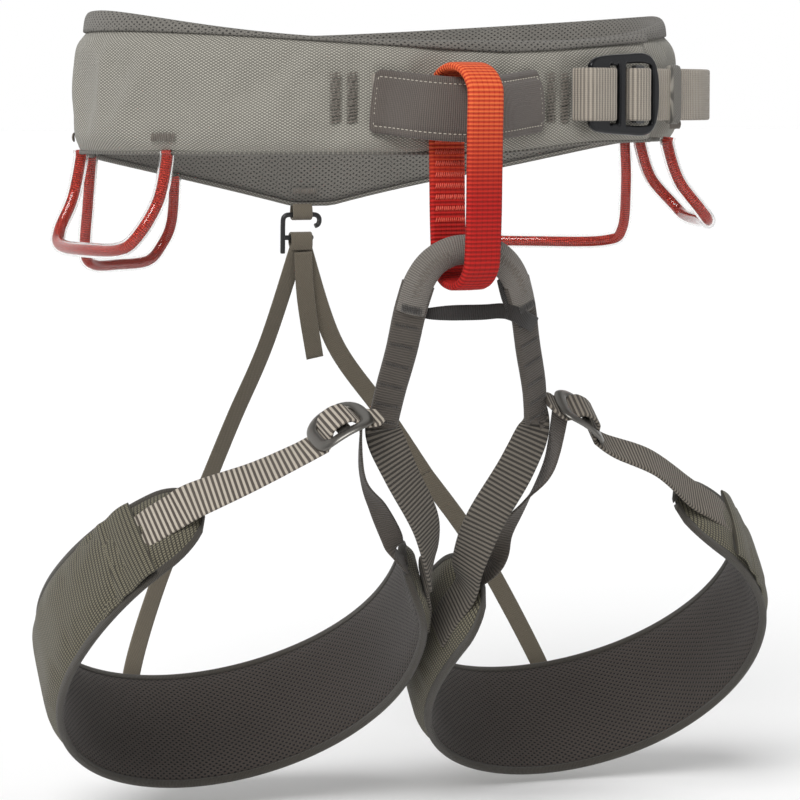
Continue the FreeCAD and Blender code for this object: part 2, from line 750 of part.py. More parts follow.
# -------------------------------------------------------------- rear risers
def rear_hook():
    """Webbing tab, open hook and the loop of riser elastic on its lower bar."""
    across = V(1, 0, 0)
    tab = [(-6.3, 12.0), (-6.1, 3.0), (-4.4, 0.2), (-2.4, -1.9), (0, -2.6), (2.4, -1.9),
           (4.4, 0.4), (5.9, 3.0), (6.0, 12.0)]
    save("rear_tab", bent_strap(tab, 11, 1.2,
                                lambda p, q: V(-5.5, HOOK_Y + p, HOOK_Z + q), across))
    wire = 1.4
    bars = []
    for a, b in (((-15.5, 0.0), (2.0, 0.0)), ((-15.5, 0.0), (-16.0, -20.0)),
                 ((-15.8, -12.0), (1.0, -12.0)), ((2.0, 0.0), (4.5, -3.0)),
                 ((4.5, -3.0), (2.0, -6.0))):
        start = V(a[0], HOOK_Y, HOOK_Z + a[1])
        step = V(b[0] - a[0], 0, b[1] - a[1])
        bars.append(Part.makeCylinder(wire, step.Length, start, step))
        bars.append(Part.makeSphere(wire, start))
        bars.append(Part.makeSphere(wire, start + step))
    hook = bars[0].multiFuse(bars[1:]).removeSplitter()
    save("riser_hook", hook)
    yoke = [(-1.6, -6.5), (-2.3, -3.0), (-2.2, 0.4), (-1.3, 2.0), (0, 2.5), (1.3, 2.0),
            (2.2, 0.4), (2.2, -2.6), (0.9, -5.0)]
    save("riser_yoke", bent_strap(yoke, 12, 1.0,
                                  lambda p, q: V(-6, HOOK_Y + p, HOOK_Z - 12 + q), across))
    label = [(V(-5.5, HOOK_Y - 2.4, HOOK_Z - 19.5), V(0, -1, 0)),
             (V(-4, HOOK_Y - 2.6, -105), V(0, -1, 0)),
             (V(1.0, HOOK_Y - 2.6, -136), V(0.1, -1, 0))]
    save("riser_label", ribbon(label, 10.0, 0.8, count=6))


def risers():
    """Two elastic risers, each in an upper and a lower length."""
    for side, name in SIDES:
        top = V(-6 + side * 2.0, HOOK_Y + 0.6 + 1.1 * side, HOOK_Z - 20.5)
        upper = [(top, V(0.2 * side, 1, 0)),
                 (V(-6 + side * 19, HOOK_Y + 1.0, -128), V(0.3 * side, 1, 0)),
                 (V(-3 + side * 42, 106, -166), V(0.35 * side, 1, -0.1)),
                 (V(-1 + side * 61, 100, -199), V(0.35 * side, 1, -0.2))]
        save("riser_" + name + "_upper", ribbon(upper, *RISER, count=14))
        face = ring_out(side, RISER_RING_ANGLE)
        lower = [(V(-1 + side * 61.6, 99.8, -200), V(0.35 * side, 1, -0.2)),
                 (V(side * 88, 92, -240), V(0.35 * side, 1, -0.3))]
        lower.append((on_ring(side, RISER_RING_ANGLE, 48, 2.8), face))
        lower.append((on_ring(side, RISER_RING_ANGLE, 34, 2.4), face))
        lower.append((on_ring(side, RISER_RING_ANGLE, 8, 2.4), face))
        save("riser_" + name + "_lower", ribbon(lower, *RISER, count=16))


for make in (belt_shell, belt_liner, belt_edge_roll, belt_binding, tie_in,
             waist_buckle, waist_straps, hip_keeper, gear_loops, belay_loop,
             bridge, legs, rear_hook, risers):
    make()
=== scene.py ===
"""Looks of the climbing harness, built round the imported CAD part."""
import math
import random

import bpy
from mathutils import Matrix, Vector


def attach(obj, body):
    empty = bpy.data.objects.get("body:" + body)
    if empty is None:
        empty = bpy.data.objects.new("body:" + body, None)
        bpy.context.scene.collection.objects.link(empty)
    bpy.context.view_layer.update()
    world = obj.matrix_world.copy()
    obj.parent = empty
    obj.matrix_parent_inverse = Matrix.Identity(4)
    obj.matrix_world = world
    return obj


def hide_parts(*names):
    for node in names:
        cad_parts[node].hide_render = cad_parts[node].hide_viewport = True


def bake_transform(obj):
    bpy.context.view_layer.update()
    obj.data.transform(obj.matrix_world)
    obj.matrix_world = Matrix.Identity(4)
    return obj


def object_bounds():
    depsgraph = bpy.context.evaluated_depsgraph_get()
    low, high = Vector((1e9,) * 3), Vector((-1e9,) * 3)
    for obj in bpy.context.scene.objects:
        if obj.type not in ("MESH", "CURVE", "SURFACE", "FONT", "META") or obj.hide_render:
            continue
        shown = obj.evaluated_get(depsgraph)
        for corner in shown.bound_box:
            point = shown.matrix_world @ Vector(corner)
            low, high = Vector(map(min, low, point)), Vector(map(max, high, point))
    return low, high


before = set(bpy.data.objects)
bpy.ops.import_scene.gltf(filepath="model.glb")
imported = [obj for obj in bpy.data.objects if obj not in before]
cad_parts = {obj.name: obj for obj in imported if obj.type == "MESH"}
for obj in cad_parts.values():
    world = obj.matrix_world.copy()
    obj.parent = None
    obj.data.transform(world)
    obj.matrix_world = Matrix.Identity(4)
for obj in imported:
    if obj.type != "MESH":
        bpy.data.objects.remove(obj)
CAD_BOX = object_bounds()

# Lengths below are millimetres unless a name says otherwise; meshes are
# scaled to metres when they are made.
MM = 0.001
UP = Vector((0, 0, 1))
LEFT = 1
RIGHT = -1
SIDES = ((LEFT, "left"), (RIGHT, "right"))
RANDOM = random.Random(7)

# ---------------- sizes shared with the CAD
BELT_RX, BELT_RY, BELT_FLARE = 157.0, 112.0, 0.0005
SHELL_T, LINER_T, GAP = 4.5, 4.0, 0.3
SHELL_TOP_Z = (23.0, 33.5, 29.0)
LINER_TOP_Z = (27.0, 42.0, 33.0)
BELT_BOTTOM_Z, FLAP_LIFT, BELT_POINT_Z = -23.3, 5.3, -53.0
FLAP_END, BELT_TURN, CLOSURE_STEP = 42.0, 377.0, 9.6
TIE_IN_MID = Vector((-16, -134, -5))
BELAY_W, BELAY_T = 19.0, 3.6
BELAY_TOP_Z, BELAY_BOTTOM_Z = 16.5, -87.5
BELAY_DEPTH, BELAY_YAW = 33.0, 10.0
ARCH_TOP_Z, BRIDGE_TWIST = -69.0, 0.40
JUNCTION = (39.0, -100.0, -153.0)
RING_X, RING_Y = 95.0, -22.0
RING_Z = {RIGHT: -260.5, LEFT: -268.0}
RING_RU, RING_RV, RING_TILT, RING_FILL = 91.0, 98.0, 38.0, 6.0
RING_MID_X, FRONT_TURN, TURN_FROM_Y = 3.0, 0.0020, -40.0
PAD_FROM, PAD_TO, PAD_HALF = -38.0, 252.0, 30.5
PAD_SHELL_T, PAD_LINER_T = 3.0, 3.4
RISER_RING_ANGLE = 102.0
HOOK_Y, HOOK_Z = 110.5, -60.5
BUCKLE_PHI, BUCKLE_Z = 27.5, 2.0
WAIST_WEB_W, WAIST_WEB_T = 25.0, 2.0
LEG_WEB_W, LEG_WEB_T = 19.0, 1.8
ELASTIC_W, ELASTIC_T = 9.5, 1.2

GEAR_LOOPS = (
    # name, angle of each end, drop, outward bulge
    ("front_right", -59.5, -104.0, 41.0, 18.0),
    ("rear_right", -117.0, -149.0, 45.0, 8.0),
    ("front_left", 50.0, 103.5, 36.0, 22.0),
    ("rear_left", 109.0, 152.0, 39.0, 9.0),
)
GEAR_TACK_RISE = 5.5           # gear loop tacks above the belt's bottom edge

# ---------------- sizes of the visible pieces only
SEAM_INSET = 3.6                       # stitched border to the sleeve's edge
STITCH_PITCH, STITCH_LENGTH = 2.3, 1.5
TUBE_R, BORE_R, CORD_R = 3.7, 3.0, 2.6

# ---------------- studio light
WORLD_FRONT, WORLD_BACK = 0.30, 1.0    # sky strength before and behind the harness
LAMPS = (                              # name, place, strength, spread in degrees
    ("key", (-1.6, -1.9, 2.2), 2.7, 35),
    ("side", (2.2, -1.2, 0.8), 0.35, 50),
)
CAMERA_TARGET = Vector((0.007, 0.003, -0.150))         # metres
CAMERA_AZIMUTH, CAMERA_ELEVATION, CAMERA_DISTANCE = -22, 5, 1.7
CAMERA_LENS, CAMERA_SENSOR = 153.0, 36.0


# ---------------- number helpers
def unit(v):
    """The vector scaled to length one."""
    return v.normalized()


def smooth(f):
    """Ease from 0 to 1."""
    f = min(max(f, 0.0), 1.0)
    return f * f * (3 - 2 * f)


def spline(rows, count):
    """Catmull-Rom points through rows of equal-length number tuples."""
    out = []
    last = len(rows) - 1
    for k in range(count + 1):
        f = last * k / count
        i = min(int(f), last - 1)
        t = f - i
        a = rows[max(i - 1, 0)]
        b = rows[i]
        c = rows[i + 1]
        d = rows[min(i + 2, last)]
        row = []
        for p, q, r, s in zip(a, b, c, d):
            slope0 = (r - p) / 2.0
            slope1 = (s - q) / 2.0
            cube = 2 * q - 2 * r + slope0 + slope1
            square = 3 * r - 3 * q - 2 * slope0 - slope1
            row.append(q + slope0 * t + square * t ** 2 + cube * t ** 3)
        out.append(row)
    return out


# ---------------- belt and ring maths
def around(front, side, rear, phi, power):
    """Height of an edge that rises from front and rear towards the sides."""
    a = math.radians(phi)
    end = front if math.cos(a) > 0 else rear
    return end + (side - end) * abs(math.sin(a)) ** power


def shell_top(phi):
    """Height of the shell's top edge."""
    return around(*SHELL_TOP_Z, phi - 5, 1.2)


def liner_top(phi):
    """Height of the rolled mesh edge."""
    return around(*LINER_TOP_Z, phi, 3.0 if math.cos(math.radians(phi)) > 0 else 1.2)


def belt_bottom(phi):
    """Height of the belt's bottom edge, with the V at the rear."""
    turn = (phi + 180.0) % 360.0 - 180.0
    lift = FLAP_LIFT * smooth(turn / 30.0) * smooth((150.0 - turn) / 50.0)
    dip = max(0.0, 1 - max(180.0 - abs(turn) - 4.0, 0.0) / 86.0)
    return BELT_BOTTOM_Z + lift + (BELT_POINT_Z - BELT_BOTTOM_Z) * dip * dip


def tuck(turn):
    """Inward step of the rear section where the front flap covers it."""
    return -CLOSURE_STEP * smooth((turn - 268.0) / 60.0)


def on_belt(phi, z, off=0.0):
    """Point on the belt's outer face, moved outwards by off."""
    a = math.radians(phi)
    grow = 1 - BELT_FLARE * z
    return Vector(((BELT_RX * grow + off) * math.sin(a),
                   -(BELT_RY * grow + off) * math.cos(a), z))


def belt_out(phi):
    """Outward direction of the belt at phi."""
    a = math.radians(phi)
    return unit(Vector((math.sin(a) / BELT_RX, -math.cos(a) / BELT_RY, 0)))


def mid_x(y):
    """Mid plane of the leg assembly; the front hangs turned to the right."""
    return RING_MID_X - FRONT_TURN * min(y - TURN_FROM_Y, 0.0) ** 2


def leg(side, x, y, z):
    """Point given from the mid plane; x counts away from the other leg."""
    return Vector((mid_x(y) + side * x, y, z))


def on_ring(side, angle, h, off=0.0):
    """Point on a leg ring: 0 inner side, 90 rear, 180 outer side, 270 front."""
    a = math.radians(angle)
    tilt = math.radians(RING_TILT)
    fuller = RING_FILL * math.exp(-((angle + 40) / 22.0) ** 2)
    u = (RING_RU + off) * math.cos(a) + fuller
    v = (RING_RV + off) * math.sin(a)
    y = RING_Y + v * math.cos(tilt) + h * math.sin(tilt)
    z = RING_Z[side] - v * math.sin(tilt) + h * math.cos(tilt)
    turn = mid_x(RING_Y + RING_RV * math.sin(a) * math.cos(tilt))
    return Vector((turn + side * (RING_X - u), y, z))


def ring_out(side, angle):
    """Outward direction of a leg ring."""
    return unit(on_ring(side, angle, 0, 1.0) - on_ring(side, angle, 0, 0.0))


def pad_half(angle):
    """Half height of the leg pad; it narrows towards both ends."""
    if angle < 100:
        return PAD_HALF - 8.5 * ((100 - angle) / 138.0) ** 2
    return PAD_HALF - 12 * ((angle - 100) / 140.0) ** 2


def pad_lift(angle):
    """How far the pad rises out of the ring plane towards its outer end."""
    return 16.0 * max(0.0, (angle - 120) / 120.0) ** 2


# ---------------- mesh makers
def add_object(name, data):
    """Object holding the data, linked to the scene."""
    obj = bpy.data.objects.new(name, data)
    bpy.context.scene.collection.objects.link(obj)
    return obj


def make_mesh(name, verts, faces, uvs, material, level=0):
    """Mesh object from millimetre points, with one UV pair per face corner."""
    mesh = bpy.data.meshes.new(name)
    mesh.from_pydata([v * MM for v in verts], [], faces)
    layer = mesh.uv_layers.new(name="UVMap")
    layer.data.foreach_set("uv", [c * MM for pair in uvs for c in pair])
    mesh.polygons.foreach_set("use_smooth", [True] * len(mesh.polygons))
    mesh.materials.append(material)
    obj = add_object(name, mesh)
    if level:
        smoother = obj.modifiers.new("smooth", "SUBSURF")
        smoother.levels = level
        smoother.render_levels = level
    return obj


def grid(name, rings, material, closed=False, level=0, across=None):
    """Skin through rings of points: u runs along the rings, v round each."""
    size = len(rings[0])
    verts = [p for ring in rings for p in ring]
    along = [0.0]
    for k in range(1, len(rings) + (1 if closed else 0)):
        here = sum(rings[k % len(rings)], Vector()) / size
        before = sum(rings[k - 1], Vector()) / size
        along.append(along[-1] + (here - before).length)
    faces = []
    uvs = []
    for k in range(len(along) - 1):
        a = k * size
        b = ((k + 1) % len(rings)) * size
        v = 0.0
        for j in range(size):
            n = (j + 1) % size
            step = (rings[k][n] - rings[k][j]).length
            faces.append((a + j, b + j, b + n, a + n))
            lo, hi = (across[j], across[j + 1]) if across else (v, v + step)
            uvs += [(along[k], lo), (along[k + 1], lo), (along[k + 1], hi), (along[k], hi)]
            v += step
    if not closed:
        last = (len(rings) - 1) * size
        faces += [tuple(range(size)), tuple(last + j for j in reversed(range(size)))]
        uvs += [(end, 0.3 * j) for end in (0.0, along[-1]) for j in range(size)]
    return make_mesh(name, verts, faces, uvs, material, level)


def soft_profile(w, t, bow=0.0, steps=8, groove=0.0):
    """Strap cross-section: rounded edges, bowed faces, pressed seam lines."""
    r = t / 2
    flat = w / 2 - r

    def height(x):
        seam = math.exp(-((w / 2 - SEAM_INSET - abs(x)) / 0.9) ** 2)
        return r + bow * (1 - (x / flat) ** 2) - groove * seam
    across = [flat * (2 * k / steps - 1) for k in range(steps + 1)]
    half = [(x, -height(x)) for x in across]
    half += [(w / 2 - r * 0.3, -r * 0.7), (w / 2, 0), (w / 2 - r * 0.3, r * 0.7)]
    return half + [(-x, -y) for x, y in half]


def round_profile(radius, count):
    """Circle cross-section."""
    turns = [2 * math.pi * k / count for k in range(count)]
    return [(radius * math.cos(a), radius * math.sin(a)) for a in turns]


def frames(stations, count):
    """(middle, wide, thick) along (point, face direction) stations."""
    rows = spline([tuple(point) + tuple(face) for point, face in stations], count)
    mids = [Vector(r[:3]) for r in rows]
    out = []
    for k, mid in enumerate(mids):
        along = unit(mids[min(k + 1, count)] - mids[max(k - 1, 0)])
        wide = unit(along.cross(Vector(rows[k][3:])))
        out.append((mid, wide, unit(wide.cross(along))))
    return out


def bent_run(path, place, wide, count=40):
    """Frames along a bent strip: place(p, q) puts the points of its 2-D path."""
    mids = [place(p, q) for p, q in spline(path, count)]
    run = []
    for k, mid in enumerate(mids):
        heading = unit(mids[min(k + 1, count)] - mids[max(k - 1, 0)])
        run.append((mid, wide, unit(wide.cross(heading))))
    return run


def sweep(name, path, profile, material, closed=False, level=0, taper=None):
    """Profile carried along frames; taper(f) scales its width."""
    rings = []
    last = max(len(path) - 1, 1)
    for k, (mid, wide, thick) in enumerate(path):
        scale = taper(k / last) if taper else 1.0
        rings.append([mid + wide * (a * scale) + thick * b for a, b in profile])
    across = [0.0]
    for j in range(len(profile)):
        a = profile[j]
        b = profile[(j + 1) % len(profile)]
        across.append(across[-1] + math.hypot(b[0] - a[0], b[1] - a[1]))
    return grid(name, rings, material, closed, level, across)


def strap(name, stations, w, t, material, count=40, bow=0.0, taper=None):
    """Flat strap through the stations."""
    return sweep(name, frames(stations, count), soft_profile(w, t, bow), material, taper=taper)


def assign(piece, body, node=None):
    """Hide the CAD node that a piece replaces, if any, and attach the piece to its body."""
    if node:
        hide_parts(node)
    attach(piece, body)


def join(name, objects):
    """One object from several."""
    bpy.ops.object.select_all(action="DESELECT")
    for obj in objects:
        obj.select_set(True)
    bpy.context.view_layer.objects.active = objects[0]
    bpy.ops.object.join()
    objects[0].name = name
    return objects[0]


# ---------------- stitches
def thread_mesh(name, dashes, radius, material):
    """Short threads, each from a to b, humped away from the cloth."""
    verts = []
    faces = []
    uvs = []
    for a, b, out in dashes:
        along = unit(b - a)
        wide = unit(along.cross(out))
        base = len(verts)
        for f, size in ((0.0, 0.25), (0.2, 0.85), (0.5, 1.0), (0.8, 0.85), (1.0, 0.25)):
            mid = a.lerp(b, f) + out * (radius * 0.9 * math.sin(math.pi * f))
            for k in range(5):
                c = 2 * math.pi * k / 5
                ring = wide * math.cos(c) + out * math.sin(c)
                verts.append(mid + ring * (radius * size))
        for row in range(4):
            for k in range(5):
                n = (k + 1) % 5
                p = base + row * 5
                faces.append((p + k, p + n, p + 5 + n, p + 5 + k))
                uvs += [(row, k), (row, k + 1), (row + 1, k + 1), (row + 1, k)]
    return make_mesh(name, verts, faces, uvs, material)


def sew(name, dashes, radius, thread_name, body, node=None):
    """Thread mesh for the dashes, with its finish and body."""
    assign(thread_mesh(name, dashes, radius, M[thread_name]), body, node)


def stitch_run(points, outs):
    """Dashes along a polyline of surface points."""
    dashes = []
    total = 0.0
    mark = STITCH_PITCH / 2
    for k in range(len(points) - 1):
        a = points[k]
        b = points[k + 1]
        step = (b - a).length
        if step < 1e-6:
            continue
        along = (b - a) / step
        while mark <= total + step:
            mid = a + along * (mark - total)
            half = along * STITCH_LENGTH / 2
            dashes.append((mid - half, mid + half, outs[k]))
            mark += STITCH_PITCH
        total += step
    return dashes


def bar_tack(mid, along, across, out, length, width, count):
    """Dense zigzag of threads across a short bar."""
    dashes = []
    for k in range(count):
        x = length * (k / (count - 1) - 0.5)
        sway = RANDOM.uniform(-0.15, 0.15)
        a = mid + along * (x + sway) - across * (width / 2)
        b = mid + along * (x + length / count * 0.7 + sway) + across * (width / 2)
        dashes.append((a, b, out))
    return dashes


# ---------------- materials
class Nodes:
    """Short way to fill one node tree."""

    def __init__(self, owner):
        owner.use_nodes = True
        self.tree = owner.node_tree

    def feed(self, node, inputs):
        """Link sockets to a node's inputs, and set its constant inputs."""
        for key, source in inputs.items():
            if hasattr(source, "is_linked"):
                self.tree.links.new(source, node.inputs[key])
            else:
                node.inputs[key].default_value = source

    def add(self, kind, inputs, output=0, **settings):
        """One output of a new node."""
        node = self.tree.nodes.new(kind)
        for key, value in settings.items():
            setattr(node, key, value)
        self.feed(node, inputs)
        return node.outputs[output]


class Shader(Nodes):
    """Short way to write one procedural material."""

    def __init__(self, name, roughness=0.9, sheen=0.0, metallic=0.0):
        self.mat = bpy.data.materials.new(name)
        super().__init__(self.mat)
        self.bsdf = self.tree.nodes["Principled BSDF"]
        self.feed(self.bsdf, {"Roughness": roughness, "Sheen Weight": sheen, "Metallic": metallic})
        self.uv = self.add("ShaderNodeUVMap", {})
        self.place = self.add("ShaderNodeTexCoord", {}, "Object")

    def scaled(self, vector, scale, turn=0.0):
        """The vector scaled per axis, then turned in its plane."""
        out = self.add("ShaderNodeMapping", {"Vector": vector, "Scale": scale})
        if turn:
            out = self.add("ShaderNodeMapping", {"Vector": out, "Rotation": (0, 0, turn)})
        return out

    def math(self, kind, a, b=0.0, c=0.0):
        return self.add("ShaderNodeMath", {0: a, 1: b, 2: c}, operation=kind)

    def wave(self, vector, axis, pitch_mm, distort=0.0):
        """Sine bands of the given pitch across a UV or place vector."""
        inputs = {"Vector": vector, "Scale": math.pi / (10 * pitch_mm * MM), "Distortion": distort,
                  "Detail": 1.0}
        return self.add("ShaderNodeTexWave", inputs, "Fac", wave_type="BANDS",
                        bands_direction=axis, wave_profile="SIN")

    def noise(self, vector, size):
        """Cloudy grey; a larger size gives smaller clouds."""
        spread = self.scaled(vector, (size, size, size))
        return self.add("ShaderNodeTexNoise", {"Vector": spread, "Scale": 1.0, "Detail": 3.0}, "Fac")

    def lattice(self, pitch):
        """Distance from the middles of a diamond lattice of the given pitch."""
        cells = self.scaled(self.uv, (1 / (pitch[0] * MM), 1 / (pitch[1] * MM), 1), math.radians(45))
        return self.add("ShaderNodeTexVoronoi", {"Vector": cells, "Scale": 1.0, "Randomness": 0.0},
                        "Distance", voronoi_dimensions="2D")

    def ramp(self, value, low, high):
        """Value mapped so that low becomes 0 and high becomes 1."""
        return self.add("ShaderNodeMapRange", {"Value": value, "From Min": low, "From Max": high},
                        interpolation_type="SMOOTHSTEP")

    def mix(self, fac, a, b, amount=1.0):
        """Colour a going over to b by the factor, at most by the amount."""
        if amount < 1.0:
            fac = self.math("MULTIPLY", fac, amount)
        return self.add("ShaderNodeMix", {"Factor": fac, 6: rgba(a), 7: rgba(b)}, 2, data_type="RGBA")

    def color(self, source):
        self.feed(self.bsdf, {"Base Color": rgba(source)})

    def bump(self, height, distance_mm, strength=1.0):
        inputs = {"Distance": distance_mm * MM, "Strength": strength, "Height": height}
        self.feed(self.bsdf, {"Normal": self.add("ShaderNodeBump", inputs)})


def rgba(value):
    """Colour tuples get an alpha; sockets pass through."""
    if isinstance(value, tuple) and len(value) == 3:
        return value + (1.0,)
    return value


def tint(color, factor):
    """The colour made lighter or darker."""
    return tuple(min(c * factor, 1.0) for c in color)


def ribbed(s, rib, yarn, part):
    """Weave of a rib wave and a yarn wave; part is the yarn's share."""
    return s.math("MULTIPLY_ADD", yarn, part, s.math("MULTIPLY", rib, 1.0 - part))


def webbing(name, base, rib=1.1, contrast=0.55, grain=0.55, sheen=0.15):
    """Woven strap: ribs across the width, fine yarns along it."""
    s = Shader(name, 0.78, sheen)
    fuzz = s.noise(s.uv, 900)
    patch = s.noise(s.place, 40)
    weave = ribbed(s, s.wave(s.uv, "X", rib), s.wave(s.uv, "Y", grain), 0.25)
    shade = s.mix(s.ramp(weave, 0.1, 0.8), tint(base, 1 - contrast), tint(base, 1.12))
    wear_and_highlight = s.mix(s.ramp(patch, 0.4, 0.75), shade, tint(base, 1.25), 0.3)
    s.color(s.mix(fuzz, wear_and_highlight, tint(base, 0.6), 0.18))
    s.bump(s.math("MULTIPLY_ADD", fuzz, 0.15, weave), 0.35)
    return s.mat


def belay_weave(name, base, wear_and_highlight):
    """Bright loop webbing: ribs crossed by channels, with a painted highlight that makes it lighter
    and more orange towards the top.
    """
    s = Shader(name, 0.75)
    s.feed(s.bsdf, {"Specular IOR Level": 0.25})
    channel = s.ramp(s.wave(s.uv, "Y", 2.8), 0.0, 0.3)
    height = s.add("ShaderNodeSeparateXYZ", {0: s.place}, "Z")
    # Painted highlight: this mask grows towards the loop's top, where the colour turns lighter and
    # more orange.
    top = s.ramp(height, -0.050, 0.012)
    weave = ribbed(s, s.wave(s.uv, "X", 1.9), channel, 0.18)
    painted_top_highlight = s.mix(top, tint(base, 1.2), wear_and_highlight)
    # Painted highlight: the dark tone also lightens towards the top.
    shade = s.mix(weave, s.mix(top, tint(base, 0.45), base), painted_top_highlight)
    s.color(s.mix(s.noise(s.uv, 900), shade, tint(base, 0.6), 0.15))
    s.bump(weave, 0.5)
    return s.mat


def striped(name, light, dark, pitch):
    """Ribbed webbing: pale ribs with dark yarns showing between them."""
    s = Shader(name, 0.8, 0.05)
    rib = s.ramp(s.wave(s.uv, "X", pitch), 0.25, 0.68)
    yarn = s.wave(s.uv, "Y", 0.7)
    shade = s.mix(rib, dark, s.mix(yarn, tint(light, 0.85), tint(light, 1.1)))
    cloudy = s.mix(s.noise(s.place, 40), shade, tint(light, 0.55), 0.25)
    s.color(s.mix(s.noise(s.uv, 900), cloudy, dark, 0.15))
    s.bump(s.math("MULTIPLY_ADD", yarn, 0.2, rib), 0.45)
    return s.mat


def twill(name, base):
    """Elastic tape with a fine slanting weave."""
    s = Shader(name, 0.85, 0.2)
    slant = s.wave(s.scaled(s.uv, (1, 1, 1), 0.9), "X", 0.9)
    weave = ribbed(s, slant, s.wave(s.uv, "Y", 0.8), 0.35)
    shade = s.mix(weave, tint(base, 0.72), tint(base, 1.15))
    s.color(s.mix(s.noise(s.uv, 1100), shade, tint(base, 0.65), 0.2))
    s.bump(weave, 0.18)
    return s.mat


def dotted_shell(name, base):
    """Belt shell cloth: a dense diamond weave of small dimples."""
    s = Shader(name, 0.80, 0.12)
    bead = s.ramp(s.lattice((1.6, 0.95)), 0.16, 0.52)
    shade = s.mix(bead, tint(base, 1.65), tint(base, 0.40))
    cloudy = s.mix(s.noise(s.place, 22), shade, tint(base, 0.85), 0.22)
    s.color(s.mix(s.noise(s.uv, 700), cloudy, tint(base, 0.75), 0.15))
    s.bump(s.math("SUBTRACT", 1.0, bead), 0.32, 0.8)
    return s.mat


def spacer_mesh(name, base, hole, size):
    """Perforated spacer mesh: rows of small dark holes, every other shifted."""
    s = Shader(name, 0.92, 0.1)
    knit = s.wave(s.scaled(s.uv, (1, 1, 1), 0.5), "X", 0.7, 0.6)
    patch = s.ramp(s.noise(s.place, 30), 0.35, 0.7)
    cloudy = s.mix(patch, s.mix(knit, tint(base, 0.75), tint(base, 1.18)), tint(base, 0.7), 0.35)
    open_hole = s.ramp(s.lattice((2.4, 1.7)), size + 0.08, size - 0.04)
    s.color(s.mix(open_hole, cloudy, hole))
    s.bump(s.math("MULTIPLY_ADD", knit, 0.2, s.math("SUBTRACT", 1.0, open_hole)), 0.5)
    return s.mat


def ripstop(name, base, line):
    """Pad shell cloth: fine weave crossed by a grid of darker cords."""
    s = Shader(name, 0.86, 0.1)
    across = s.ramp(s.wave(s.uv, "X", 1.85), 0.62, 0.86)
    along = s.ramp(s.wave(s.uv, "Y", 1.85 * 0.62), 0.62, 0.86)
    lines = s.math("MAXIMUM", across, along)
    fine = s.wave(s.uv, "X", 0.6)
    cloth = s.mix(fine, tint(base, 0.85), tint(base, 1.1))
    cloudy = s.mix(s.noise(s.place, 35), cloth, tint(base, 0.78), 0.35)
    s.color(s.mix(lines, cloudy, line, 0.95))
    s.bump(s.math("MULTIPLY_ADD", fine, 0.25, lines), 0.3)
    return s.mat


def thread(name, base):
    """Twisted sewing thread."""
    s = Shader(name, 0.6, 0.3)
    s.color(s.mix(s.noise(s.place, 1500), tint(base, 0.7), tint(base, 1.2)))
    return s.mat


def hard(name, base, roughness, metallic):
    """Anodised metal or moulded plastic with faint grain and edge wear."""
    s = Shader(name, roughness, 0.0, metallic)
    smudge = s.noise(s.place, 60)
    edge = s.add("ShaderNodeNewGeometry", {}, "Pointiness")
    shade = s.mix(smudge, tint(base, 0.85), tint(base, 1.15))
    s.color(s.mix(s.ramp(edge, 0.53, 0.62), shade, (0.55, 0.55, 0.54), 0.12))
    s.feed(s.bsdf, {"Roughness": s.math("MULTIPLY_ADD", smudge, 0.18, roughness - 0.09)})
    s.bump(s.noise(s.place, 900), 0.03, 0.15)
    return s.mat


def clear_tube(name):
    """Clear flexible tube, slightly smeared."""
    s = Shader(name, 0.03)
    s.feed(s.bsdf, {"Transmission Weight": 1.0, "IOR": 1.32})
    smear = s.noise(s.place, 80)
    s.color(s.mix(smear, (0.99, 0.99, 0.985), (0.95, 0.95, 0.94)))
    s.bump(smear, 0.1, 0.15)
    return s.mat


M = {
    "shell": dotted_shell("belt_cloth", (0.285, 0.271, 0.233)),
    "fold": dotted_shell("folded_cloth", (0.16, 0.15, 0.13)),
    "liner": spacer_mesh("belt_mesh", (0.17, 0.16, 0.142), (0.03, 0.028, 0.025), 0.2),
    "sleeve": webbing("sleeve_tape", (0.112, 0.092, 0.079), 0.9, 0.5, 0.9),
    "arch": webbing("arch_tape", (0.175, 0.158, 0.138), 0.95, 0.5, 0.95),
    "taupe": webbing("taupe_webbing", (0.33, 0.29, 0.24), 1.8, 0.55, 0.9),
    "tacked": webbing("tie_in_webbing", (0.29, 0.26, 0.22), 1.2, 0.4, 0.7),
    # The second colour is the painted highlight towards the loop's top.
    "belay": belay_weave("belay_webbing", (0.44, 0.011, 0.008), (0.90, 0.19, 0.055)),
    "dark": webbing("dark_webbing", (0.075, 0.062, 0.050), 1.3, 0.5),
    "striped": striped("striped_webbing", (0.50, 0.445, 0.37), (0.045, 0.034, 0.026), 2.45),
    # Painted shade: a darker copy of the striped webbing, used on the left leg loop.
    "shaded": striped("shaded_webbing", (0.23, 0.20, 0.162), (0.036, 0.028, 0.021), 2.1),
    "inner": striped("ribbed_webbing", (0.165, 0.145, 0.118), (0.022, 0.018, 0.014), 2.2),
    "black_tape": webbing("black_tape", (0.016, 0.013, 0.011), 0.9, 0.4),
    "pad_edge": webbing("pad_edge_tape", (0.050, 0.043, 0.033), 0.8, 0.4),
    "elastic": twill("elastic_tape", (0.135, 0.114, 0.082)),
    "pad": ripstop("pad_cloth", (0.185, 0.168, 0.112), (0.026, 0.022, 0.015)),
    "pad_mesh": spacer_mesh("pad_mesh", (0.056, 0.045, 0.038), (0.004, 0.003, 0.003), 0.27),
    "cord": webbing("red_cord", (0.60, 0.036, 0.016), 1.1, 0.6, 0.9, 0.0),
    "thread": thread("taupe_thread", (0.46, 0.42, 0.35)),
    "tack_thread": thread("dark_taupe_thread", (0.125, 0.105, 0.085)),
    "dark_thread": thread("dark_thread", (0.025, 0.021, 0.018)),
    "red_thread": thread("red_thread", (0.72, 0.075, 0.035)),
    "black_metal": hard("black_anodised", (0.010, 0.0105, 0.012), 0.24, 0.5),
    "black_plastic": hard("black_plastic", (0.012, 0.012, 0.012), 0.38, 0.0),
    "gun_metal": hard("gun_metal", (0.15, 0.143, 0.13), 0.32, 0.85),
    "tube": clear_tube("clear_tube"),
}


